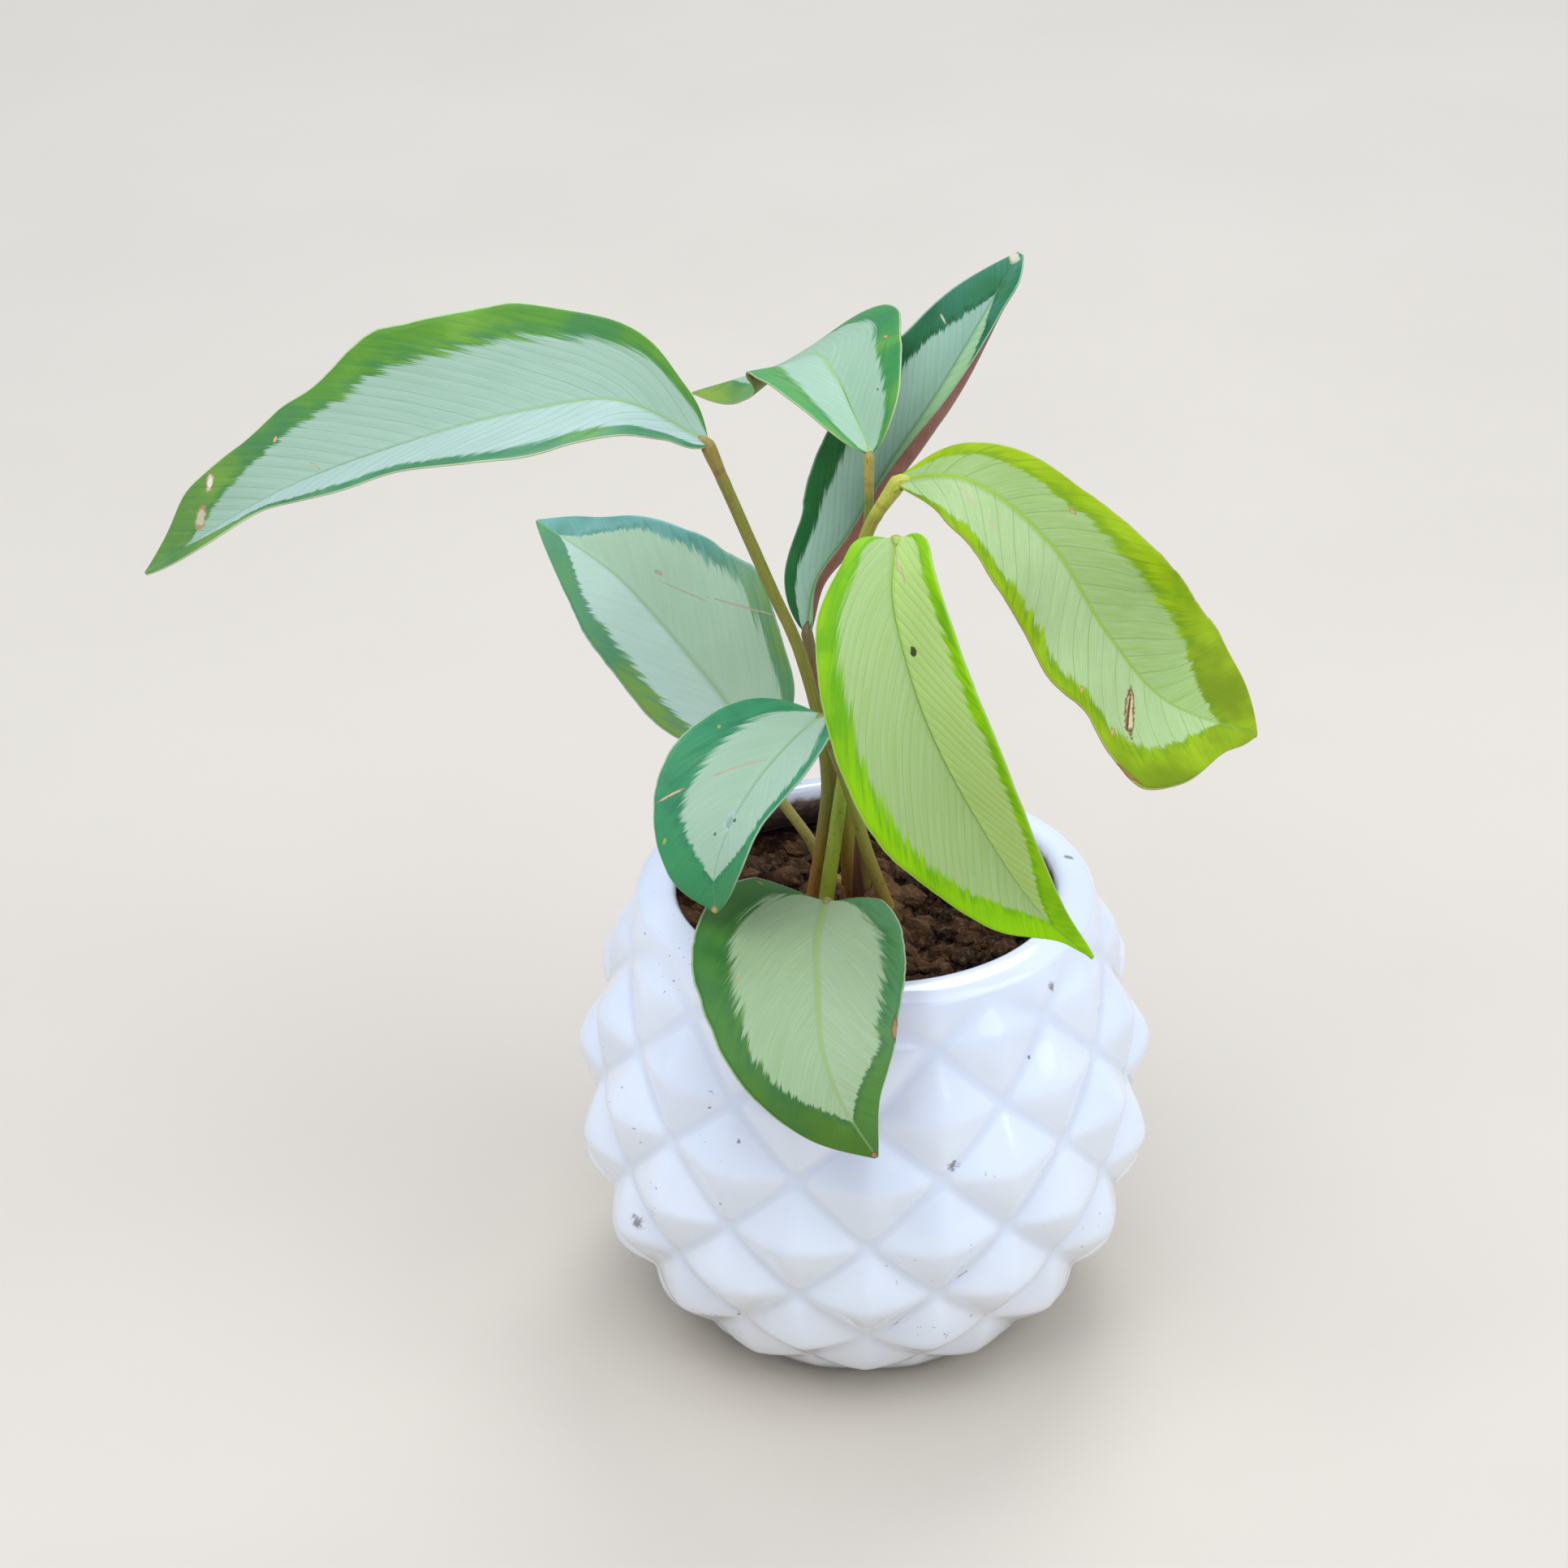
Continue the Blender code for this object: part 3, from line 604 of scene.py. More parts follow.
def soilFinish():
    finish, tree = newFinish("crumblySoil")
    place = objectPlace(tree)
    lumps = noiseAt(place, 150.0, 4.0, 0.6)
    grains = noiseAt(place, 700.0, 4.0, 0.65)
    base = wash(soil["dark"], soil["middle"], lumps, 0.35, 0.65)
    base = wash(base, soil["light"], grains, 0.45, 0.75, 0.7)
    height = split(place)[2]
    # painted light: the higher tops of the lumps and clods are lighter, as if lit from above
    base = wash(base, soil["light"], height, *metres(soil["litTopFade"]), soil["litTopShown"])
    coarse = bumpFrom(noiseAt(place, 500.0, 4.0, 0.65), soil["coarseBump"] * mm)
    return setShader(finish, {
        "Base Color": base, "Roughness": ramp(lumps, 0.3, 0.7, *soil["roughness"]),
        "Normal": bumpFrom(grains, soil["fineBump"] * mm, 0.8, coarse),
        "Specular IOR Level": soil["shine"],
    })


earth = soilFinish()
placePiece("soilBed", soilMesh(), [earth], ["soil"])
topArea = math.pi * (soil["scatterRings"][-1] * mm) ** 2
crumbs = crumbTree(earth)
for pieceName, count, (least, greatest) in (("soilClods", soil["clods"], soil["clodSize"]),
                                            ("soilCrumbs", soil["crumbs"], soil["crumbSize"])):
    values = {"Density": count / topArea, "Least size": least * mm, "Greatest size": greatest * mm}
    placePiece(pieceName, applyTree(soilTop(), crumbs, pieceName, values), [], [])
print("soil filled in, clods and crumbs scattered")


# What all blades share. streaks, hairs and patches are how fine these patterns are across the veins
# and along them, and their detail. From feather to drift they say how far each pattern moves the
# silvery field's border. ribLine and underRibLine are how the painted midrib narrows to the tip and
# how wide it starts, in cm. satin is how much streaks roughen the face and its least roughness, and
# bumps are in mm.
blade = {
    "thickness": 0.7, "edgeThickness": 0.35,
    "rows": 190, "columns": 22,
    "columnCrowding": 1.35, "stalkWidth": 1.2, "tipWidth": 0.4, "foldEase": 3.0,
    "lobePeak": 0.07, "lobeEnd": 0.45,
    "nibble": 0.012, "nibblesAlong": (22.0, 70.0), "ripple": 0.22, "rippleSize": 9.0,
    "ribHeight": 0.28, "ribUnder": 0.9, "ribWidth": 0.75,
    "streaks": (22.0, 1.6, 3.0), "hairs": (75.0, 4.0, 2.0), "patches": (3.2, 1.2, 2.0),
    "veinWobble": 0.12, "fieldGrown": (0.02, 0.32), "fieldEnding": 0.22,
    "feather": 0.22, "fringe": 0.14, "veinStep": -0.04, "drift": 0.22,
    # streakHighlight is a painted highlight: a pale tone laid over the silver in streaks along the
    # veins
    "ribLine": (-0.055, 0.07), "underRibLine": (-0.10, 0.13), "streakHighlight": "#D2E0CC",
    "underShade": "#5E3038", "underBlush": "#A87468", "underVein": "#A87A66", "underRib": "#A88C58",
    "satin": (0.12, 0.38), "wornRoughness": 0.3, "underRoughness": (0.42, 0.6),
    "quiltBump": 0.03, "grainBump": 0.05, "underVeinBump": 0.1, "underGrainBump": 0.06,
}

# From rib to swells the values are those of the solids. silver and margin hold the colours of the
# right and left half. field is how far the silver reaches to the edge at the base and at the middle
# of each half, and where along the rib it ends. veins are their spacing in mm, their slant and how
# they bend on, veinShown is how strongly they show and gloss is how much the face shines. Marks are:
# place across and along, size across and along in mm, turn and two colours. What a leaf leaves out
# is as in plainLeaf.
plainLeaf = {"lobe": 0, "curlRight": (0, 0), "curlLeft": (0, 0), "swellsRight": (), "swellsLeft": ()}
leaves = {
    "long_left": {
        "rib": ((-34, 8, 205), (-52, 6, 215), (-71, 1, 215), (-94, -5, 211), (-121, -10, 202),
                (-149, -15, 186)),
        "face": ((-90, 72), (-90, 66)),
        "right": 24, "left": 17, "widest": 0.40, "baseRound": 0.75, "tipPower": 1.9,
        "liftRight": (24, 20), "liftLeft": (10, 42), "curlRight": (10, 10),
        "wave": 1.0, "waves": 2.5, "phase": (0.1, 0.1),
        "swellsRight": ((0.09, 0.05, -2.2), (0.29, 0.06, 1.6), (0.52, 0.05, 1.9),
                        (0.64, 0.04, -1.2), (0.75, 0.06, -1.8), (0.88, 0.04, 1.2)),
        "swellsLeft": ((0.07, 0.03, -1.2), (0.19, 0.06, 1.6), (0.40, 0.10, 6.8), (0.58, 0.06, -2.4),
                       (0.77, 0.08, -6.2)),
        "silver": ("#9AB498", "#AABEB0"), "margin": ("#588E1C", "#528A62"),
        "fresh": "#7CA832", "shade": "#2F7440", "tinge": ("#688E40", 0.6, 0.9),
        "vein": "#7A9E7C", "ribColour": "#8FB06A", "edge": "#C9D0A0", "under": "#8A5048",
        "field": ((0.78, 0.70), (0.68, 0.78), 0.93),
        "veins": (4.3, 1.5, 0.12), "veinShown": 1.0, "gloss": 0.25,
        "marks": ((0.80, 0.835, 1.5, 4.0, 50, "#EDE4D0", "#B9906A"),
                  (0.36, 0.876, 2.2, 5.4, 50, "#C4BE9C", "#B08A60"),
                  (0.70, 0.715, 0.8, 1.6, 50, "#D8B98C", "#A87B50"),
                  (0.12, 0.673, 0.4, 3.0, 121, "#C8B48A", "#A88B60")),
    },
    "top_folded": {
        "rib": ((0, 14, 200), (-3, 26, 203), (-7, 40, 206), (-11, 51, 206), (-21, 59, 199),
                (-38, 67, 190)),
        "face": ((-90, 75), (90, 75)),
        "right": 17, "left": 18, "widest": 0.45, "baseRound": 0.6, "tipPower": 2.0,
        "liftRight": (50, -15), "liftLeft": (35, -38),
        "wave": 0.5, "waves": 2.0, "phase": (0.3, 0.8),
        "swellsRight": ((0.25, 0.10, -1.0), (0.54, 0.07, 5.4)),
        "silver": ("#98B794", "#9EBB9C"), "margin": ("#388A3E", "#4E9A4C"),
        "fresh": "#74A63A", "shade": "#2A7540", "tinge": ("#8EA426", 0.68, 0.84),
        "vein": "#7BA47C", "ribColour": "#9CB85A", "edge": "#B9C690",
        "under": "#8FA24A", "underTip": "#9DB23E",
        "field": ((0.70, 0.62), (0.66, 0.60), 0.86),
        "veins": (2.9, 1.4, 0.16), "veinShown": 0.7, "gloss": 0.25,
        "marks": ((0.8, 0.42, 0.8, 1.5, 20, "#C9A25C", "#A87B40"),
                  (0.55, 0.2, 0.5, 0.8, 0, "#7A5A34", "#5A4024")),
    },
    "tall_back": {
        "rib": ((-13, 18, 156), (-11, 24, 165), (-4, 31, 173), (5, 39, 186), (15, 46, 199),
                (33, 58, 227)),
        "face": ((-102, 22), (-102, 27)),
        "right": 11.5, "left": 16, "widest": 0.5, "baseRound": 0.8, "tipPower": 2.0,
        "liftRight": (0, 0), "liftLeft": (25, 30), "curlRight": (190, 100),
        "wave": 0.6, "waves": 2.0, "phase": (0.0, 0.5),
        "swellsRight": ((0.94, 0.05, 2.4),), "swellsLeft": ((0.15, 0.12, -1.2), (0.85, 0.10, 0.8)),
        "silver": ("#A8D094", "#AED0B4"), "margin": ("#18662C", "#176828"),
        # the bluish tinge towards the tip is partly its own colour and partly a painted reflection of
        # the sky
        "fresh": "#2E7A34", "shade": "#0E5424", "tinge": ("#4E9478", 0.6, 0.95),
        "vein": "#6E9E7C", "ribColour": "#86A868", "edge": "#8FB58A",
        "under": "#95604A", "underTip": "#8A4E3C",
        "field": ((0.56, 0.62), (0.46, 0.66), 0.90),
        "veins": (2.8, 1.7, 0.16), "veinShown": 0.7, "gloss": 0.4,
        "marks": ((-0.65, 0.783, 0.6, 2.6, 60, "#E4DCC4", "#B59A70"),
                  (-0.2, 0.985, 2.6, 2.6, 0, "#E6DFC4", "#C8B890")),
    },
    "right": {
        "rib": ((6, -2, 201), (19, -6, 203), (36, -12, 192), (49, -18, 173), (61, -22, 160),
                (80, -26, 154)),
        "face": ((-80, 60), (-60, 50)),
        "right": 21, "left": 22, "widest": 0.72, "baseRound": 0.9, "tipPower": 3.2,
        "liftRight": (10, 5), "liftLeft": (10, 5),
        "wave": 0.9, "waves": 3.0, "phase": (0.2, 0.7),
        "swellsRight": ((0.15, 0.09, 3.2), (0.33, 0.09, 2.8), (0.52, 0.08, -2.0),
                        (0.68, 0.06, -3.4), (0.82, 0.035, 2.4), (0.94, 0.04, -4.5)),
        "swellsLeft": ((0.38, 0.16, -2.2), (0.62, 0.06, 0.8), (0.90, 0.04, -0.8)),
        # this leaf's bright lime is partly its own colour and partly painted backlight, as if lit
        # through from behind
        "silver": ("#A8BE7C", "#99B361"), "margin": ("#90B200", "#98B400"),
        "fresh": "#A8C610", "shade": "#5C8600", "tinge": ("#6C7C00", 0.55, 0.9),
        "vein": "#7E9C50", "ribColour": "#94B428", "edge": "#B8B860", "under": "#8A5A48",
        "field": ((0.86, 0.68), (0.80, 0.66), 0.92),
        "veins": (4.6, 0.7, 0.10), "veinShown": 0.85, "gloss": 0.15,
        "marks": ((0.45, 0.744, 2.2, 11.5, -63, "#D8BE90", "#6E3C1C"),
                  (0.46, 0.742, 0.6, 8.0, -66, "#5A3018", "#5A3018"),
                  (0.80, 0.642, 0.8, 1.6, -63, "#C9A860", "#A88040"),
                  (0.80, 0.739, 0.9, 1.8, -63, "#C9A860", "#A88040"),
                  (-0.60, 0.358, 0.9, 1.6, 20, "#C9A070", "#A87B50"),
                  (0.30, 0.166, 0.35, 6.5, -29, "#D8A890", "#CFA088"),
                  (0.47, 0.256, 0.3, 5.9, -18, "#D8A890", "#CFA088"),
                  (0.99, 0.79, 1.0, 6.0, -10, "#A87848", "#8A5A34")),
    },
    "front": {
        "rib": ((5, -22, 197), (4, -36, 191), (6, -46, 184), (11, -56, 172), (21, -64, 155),
                (35, -70, 136), (44, -73, 129)),
        "face": ((-115, 55), (-125, 25)),
        "right": 20, "left": 15, "widest": 0.5, "baseRound": 0.5, "tipPower": 1.55, "lobe": 3,
        "liftRight": (28, 30), "liftLeft": (28, 30),
        "wave": 0.8, "waves": 2.0, "phase": (0.5, 0.0),
        "swellsRight": ((0.12, 0.07, -2.4), (0.60, 0.10, 1.2), (0.92, 0.06, -3.0)),
        # this leaf's bright lime is partly its own colour and partly painted backlight, as if lit
        # through from behind
        "silver": ("#9EB56A", "#B8D270"), "margin": ("#84B600", "#94CA00"),
        "fresh": "#9CD000", "shade": "#589A00", "tinge": ("#94CC00", 0.6, 0.95),
        "vein": "#80A24A", "ribColour": "#86AC28", "edge": "#A8C85A", "under": "#8A5A48",
        "field": ((0.70, 0.74), (0.76, 0.82), 0.90),
        "veins": (3.2, 1.7, 0.14), "veinShown": 1.0, "gloss": 0.15,
        "marks": ((-0.20, 0.285, 1.5, 2.2, 20, "#2E2814", "#3A3418"),
                  (-0.10, 0.064, 0.4, 6.4, 10, "#CFA88C", "#C89C80"),
                  (-0.30, 0.117, 0.35, 6.0, 15, "#CFA88C", "#C89C80")),
    },
    "back_left": {
        "rib": ((-24, 22, 124), (-30, 28, 132), (-39, 35, 141), (-46, 41, 147), (-55, 48, 154),
                (-73, 58, 163)),
        "face": ((-80, 45), (-80, 50)),
        "right": 22, "left": 18, "widest": 0.42, "baseRound": 0.5, "tipPower": 1.9,
        "liftRight": (8, 8), "liftLeft": (8, 8),
        "wave": 1.0, "waves": 2.0, "phase": (0.7, 0.2),
        "swellsRight": ((0.20, 0.10, -1.2), (0.44, 0.09, 2.6), (0.60, 0.06, 1.4), (0.84, 0.06, -1.2)),
        "swellsLeft": ((0.42, 0.14, -1.3),),
        # the bluish green of the right margin is partly its own colour and partly a painted
        # reflection of the sky
        "silver": ("#AECDA4", "#BED8C0"), "margin": ("#72B0A4", "#569A54"),
        "fresh": "#6AA060", "shade": "#458A66", "tinge": ("#84A418", 0.66, 0.3),
        "vein": "#8AB08C", "ribColour": "#9CBC80", "edge": "#A8C8B0", "under": "#7F4F48",
        "field": ((0.76, 0.72), (0.80, 0.72), 0.92),
        "veins": (3.2, 1.5, 0.14), "veinShown": 0.2, "gloss": 0.4,
        "marks": ((0.38, 0.526, 0.35, 10.5, 25, "#C2B498", "#B8A88A"),
                  (0.72, 0.367, 0.45, 16.5, 34, "#C2B498", "#B8A88A"),
                  (0.35, 0.617, 0.9, 1.8, 25, "#C8A890", "#B89880")),
    },
    "small_left": {
        "rib": ((-10, -8, 149), (-17, -18, 147), (-24, -28, 143), (-29, -35, 137), (-32, -40, 129),
                (-32, -42, 121)),
        "face": ((-112, 60), (-125, 40)),
        "right": 19, "left": 13.5, "widest": 0.5, "baseRound": 0.7, "tipPower": 2.2,
        "liftRight": (28, 30), "liftLeft": (28, 30),
        "wave": 0.6, "waves": 2.0, "phase": (0.4, 0.9),
        "swellsRight": ((0.38, 0.12, -1.2),), "swellsLeft": ((0.62, 0.14, -2.2),),
        "silver": ("#AAC6A4", "#AEC8AA"), "margin": ("#3C9460", "#489A6C"),
        "fresh": "#4F9A54", "shade": "#22744A", "tinge": ("#3E9058", 0.4, 0.9),
        "vein": "#88AE8A", "ribColour": "#98BC70", "edge": "#B0C8A0", "under": "#84504A",
        "field": ((0.56, 0.58), (0.64, 0.84), 0.88),
        "veins": (2.8, 1.5, 0.16), "veinShown": 0.35, "gloss": 0.35,
        "marks": ((0.80, 0.642, 0.5, 6.2, 134, "#DDBB94", "#C09A68"),
                  (0.28, 0.436, 0.35, 12.0, 145, "#D0B498", "#C0A080"),
                  (0.03, 0.642, 2.2, 4.6, 15, "#94B29C", "#C2CEC0"),
                  (-0.08, 0.629, 0.8, 0.9, 0, "#4A3A30", "#5A4A3A"),
                  (0.15, 0.703, 0.5, 0.7, 0, "#6A5A48", "#7A6A58"),
                  (0.86, 0.78, 0.8, 1.2, 0, "#9DB848", "#8DA838"),
                  (0.80, 0.36, 0.7, 1.0, 0, "#9DB848", "#8DA838"),
                  (0.0, 0.985, 2.0, 2.0, 0, "#C8A868", "#A88848")),
    },
    "front_low": {
        "rib": ((-9, -26, 114), (-11, -42, 114), (-11, -54, 112), (-10, -68, 104), (-6, -76, 96),
                (1, -82, 87)),
        "face": ((-90, 60), (-90, 30)),
        "right": 26, "left": 18.5, "widest": 0.36, "baseRound": 0.5, "tipPower": 1.7, "lobe": 8,
        "liftRight": (5, 5), "liftLeft": (5, 5),
        "wave": 0.5, "waves": 1.5, "phase": (0.2, 0.7),
        "swellsLeft": ((0.72, 0.13, 2.2),),
        "silver": ("#97AE7A", "#9CB180"), "margin": ("#427A22", "#4E864C"),
        "fresh": "#568A34", "shade": "#2C642C", "tinge": ("#4C6C16", 0.5, 0.85),
        "vein": "#7C9A6A", "ribColour": "#98AE58", "edge": "#B8C898", "under": "#84504A",
        "field": ((0.62, 0.64), (0.70, 0.76), 0.88),
        "veins": (3.0, 1.4, 0.16), "veinShown": 0.25, "gloss": 0.25,
        "marks": ((-0.97, 0.622, 1.2, 8.5, -6, "#A88454", "#6E4A2C"),
                  (0.65, 0.409, 0.7, 1.0, 30, "#C8A878", "#B08A58"),
                  (0.90, 0.074, 0.7, 2.0, 60, "#B89A68", "#9A7A48"),
                  (0.1, 0.99, 1.6, 1.6, 0, "#9A7A48", "#6E4A2C")),
    },
}
leaves = {name: {**plainLeaf, **leaf} for name, leaf in leaves.items()}


def plainWidth(leaf, side, share):
    widest = leaf["widest"]
    if share < widest:
        form = (1.0 - ((widest - share) / widest) ** 2) ** leaf["baseRound"]
        return mix(blade["stalkWidth"], leaf[side], form)
    form = 1.0 - ((share - widest) / (1.0 - widest)) ** leaf["tipPower"]
    return mix(blade["tipWidth"], leaf[side], form)


def halfWidth(leaf, side, share):
    swell = sum(amount * math.exp(-((share - at) / spread) ** 2)
                for at, spread, amount in leaf["swells" + side.capitalize()])
    return max(plainWidth(leaf, side, share) + swell, blade["tipWidth"])


def lobeShare(share):
    if share < blade["lobePeak"]:
        return math.sqrt(share / blade["lobePeak"])
    return 1.0 - smoothstep((share - blade["lobePeak"]) / (blade["lobeEnd"] - blade["lobePeak"]))


def edgeWave(leaf, side, share):
    shift = leaf["phase"][0 if side == "right" else 1]
    swing = math.sin(fullTurn * (leaf["waves"] * share + shift))
    return leaf["wave"] * swing * math.sin(math.pi * share)


def nibbled(leaf, side, share):  # how much wider or narrower small bites make the blade
    seed = leaf["rib"][0][0] + (50.0 if side == "left" else 0.0)
    coarse, fine = blade["nibblesAlong"]
    bites = (noise.noise(Vector((share * coarse, seed, 0.0)))
             + 0.5 * noise.noise(Vector((share * fine, seed, 4.0))))
    return 1.0 + blade["nibble"] * bites * math.sin(math.pi * share)


def bladeHalf(leaf, side, share):
    # places across one half: aside, height, reach back, part of the half and distance from the rib
    full = halfWidth(leaf, side, share)
    width = full * nibbled(leaf, side, share)
    ease = full / (full + blade["foldEase"]) * (1.0 + blade["foldEase"] / leaf[side])
    title = side.capitalize()
    lift = mix(*leaf["lift" + title], share)
    curl = mix(*leaf["curl" + title], share)
    wave = edgeWave(leaf, side, share)
    lobe = leaf["lobe"] * lobeShare(share)
    aside = height = before = 0.0
    places = [(0.0, 0.0, 0.0, 0.0, 0.0)]
    for column in range(1, blade["columns"] + 1):
        part = (column / blade["columns"]) ** blade["columnCrowding"]
        turn = math.radians(ease * (lift + curl * (part + before) / 2.0))
        aside += width * (part - before) * math.cos(turn)
        height += width * (part - before) * math.sin(turn)
        before = part
        places.append((aside, height + wave * part * part, lobe * part * part, part, width * part))
    return places


def bladeGrid(leaf):
    # rows of (place, part across from -1 to 1, share along, distance aside, distance along)
    rows = blade["rows"]
    shares = [0.5 - 0.5 * math.cos(math.pi * row / rows) for row in range(rows + 1)]
    rib = smoothPath(leaf["rib"], shares)
    length = pathLength(rib)
    stalkFace, tipFace = (direction(angles) for angles in leaf["face"])
    grid = []
    for share, centre, along in zip(shares, rib, directionsAlong(rib)):
        side = along.cross(stalkFace.lerp(tipFace, share)).normalized()
        up = side.cross(along)
        row = []
        for name, sign in (("left", -1.0), ("right", 1.0)):
            half = [(centre + side * aside * sign + up * height - along * back, part * sign, share,
                     away * sign, share * length - back)
                    for aside, height, back, part, away in bladeHalf(leaf, name, share)]
            row += half[:0:-1] if sign < 0 else half
        grid.append(row)
    return grid, length


def gridNormals(places):
    rows, columns = len(places), len(places[0])
    normals = []
    for row in range(rows):
        line = []
        for column in range(columns):
            along = places[min(row + 1, rows - 1)][column] - places[max(row - 1, 0)][column]
            across = places[row][min(column + 1, columns - 1)] - places[row][max(column - 1, 0)]
            line.append(across.cross(along).normalized())
        normals.append(line)
    return normals


def sheetMesh(name, top, bottom, spans, parts):
    # a closed sheet: its upper face, its lower face and the rim between them
    rows, columns = len(top), len(top[0])
    places = [place for row in (*top, *bottom) for place in row]
    under = rows * columns
    faces = []
    finishIndex = []
    for row in range(rows - 1):
        for column in range(columns - 1):
            one = row * columns + column
            quad = (one, one + 1, one + columns + 1, one + columns)
            faces.append(quad)
            faces.append(tuple(under + corner for corner in reversed(quad)))
            finishIndex += [0, 1]
    border = list(range(columns))
    border += [row * columns + columns - 1 for row in range(1, rows)]
    border += [(rows - 1) * columns + column for column in range(columns - 2, -1, -1)]
    border += [row * columns for row in range(rows - 2, 0, -1)]
    for one, other in zip(border, border[1:] + border[:1]):
        faces.append((other, one, under + one, under + other))
        finishIndex.append(0)
    maps = {"part": parts * 2, "span": spans * 2}
    return meshFrom(name, places, faces, maps, None, finishIndex)


def leafMesh(name, leaf):
    grid, length = bladeGrid(leaf)
    normals = gridNormals([[point[0] for point in row] for row in grid])
    top, bottom, spans, parts = [], [], [], []
    for row, directions in zip(grid, normals):
        topRow, bottomRow = [], []
        for (place, part, share, away, along), normal in zip(row, directions):
            thick = mix(blade["thickness"], blade["edgeThickness"], abs(part) ** 3) / 2.0
            fade = math.sin(math.pi * min(max(share, 0.02), 0.98)) ** 0.5
            flutter = noise.noise(place / blade["rippleSize"]) * min(abs(part) * 2.0, 1.0)
            ripple = blade["ripple"] * flutter * fade
            ribShape = math.exp(-(away / blade["ribWidth"]) ** 2)
            rise = blade["ribHeight"] * ribShape * (1.0 - 0.75 * share)
            sink = blade["ribUnder"] * ribShape * (1.0 - share) ** 0.7
            topRow.append(place + normal * (thick + ripple + rise))
            bottomRow.append(place + normal * (ripple - thick - sink))
            spans.append((away / mapUnit, along / mapUnit))
            parts.append((0.5 + 0.5 * part, share))
        top.append(topRow)
        bottom.append(bottomRow)
    return sheetMesh(name, top, bottom, spans, parts), length


def bladeMaps(tree):
    # part of the half and share along, cm aside and along, cm from the rib, and 1 on the right half
    part = split(mapPlace(tree, "part"))
    span = split(mapPlace(tree, "span"))
    return part, span, calc("ABSOLUTE", span[0]), ramp(part[0], 0.498, 0.502)


def fromMiddle(part):  # 0 at the middle of a sheet and 1 at both its edges
    return calc("ABSOLUTE", scaled(part[0], 2.0, -1.0))


def veinCount(leaf, span, away, side, place):
    # how many veins lie between the stalk and a spot; they leave the rib at a slant and bend on
    spacing, lean, bend = leaf["veins"]
    wobble = sway(noiseAt(place, 60.0), blade["veinWobble"])
    slant = times(away, scaled(away, bend, lean))
    rooted = minus(plus(span[1], wobble), slant)
    return rooted, scaled(rooted, mapUnit / spacing, times(side, 0.5))


def ridgeOf(count):  # 1 on a line and 0 halfway between two lines
    return times(calc("ABSOLUTE", minus(calc("FRACT", count), 0.5)), 2.0)


def alongVeins(rooted, away, side, fine, long, detail):  # noise drawn out along the veins
    spot = join(times(rooted, fine), times(away, long), times(side, 9.0))
    return noiseAt(spot, 1.0, detail, 0.6)


def fieldInside(leaf, part, across, side, jags):
    # how far within the silvery field a spot lies. Its border steps from vein to vein.
    (rightBase, leftBase), (rightMiddle, leftMiddle), end = leaf["field"]
    base = scaled(side, rightBase - leftBase, leftBase)
    middle = scaled(side, rightMiddle - leftMiddle, leftMiddle)
    border = plus(base, times(ramp(part[1], *blade["fieldGrown"]), minus(middle, base)))
    border = times(border, calc("SQRT", ramp(part[1], end, end - blade["fieldEnding"])))
    feather, fringe, step, drift = (sway(pattern, blade[key]) for key, pattern in jags.items())
    jag = plus(plus(feather, fringe), plus(step, drift))
    border = scaled(jag, ramp(border, 0.0, 0.3), border)
    return minus(border, across)


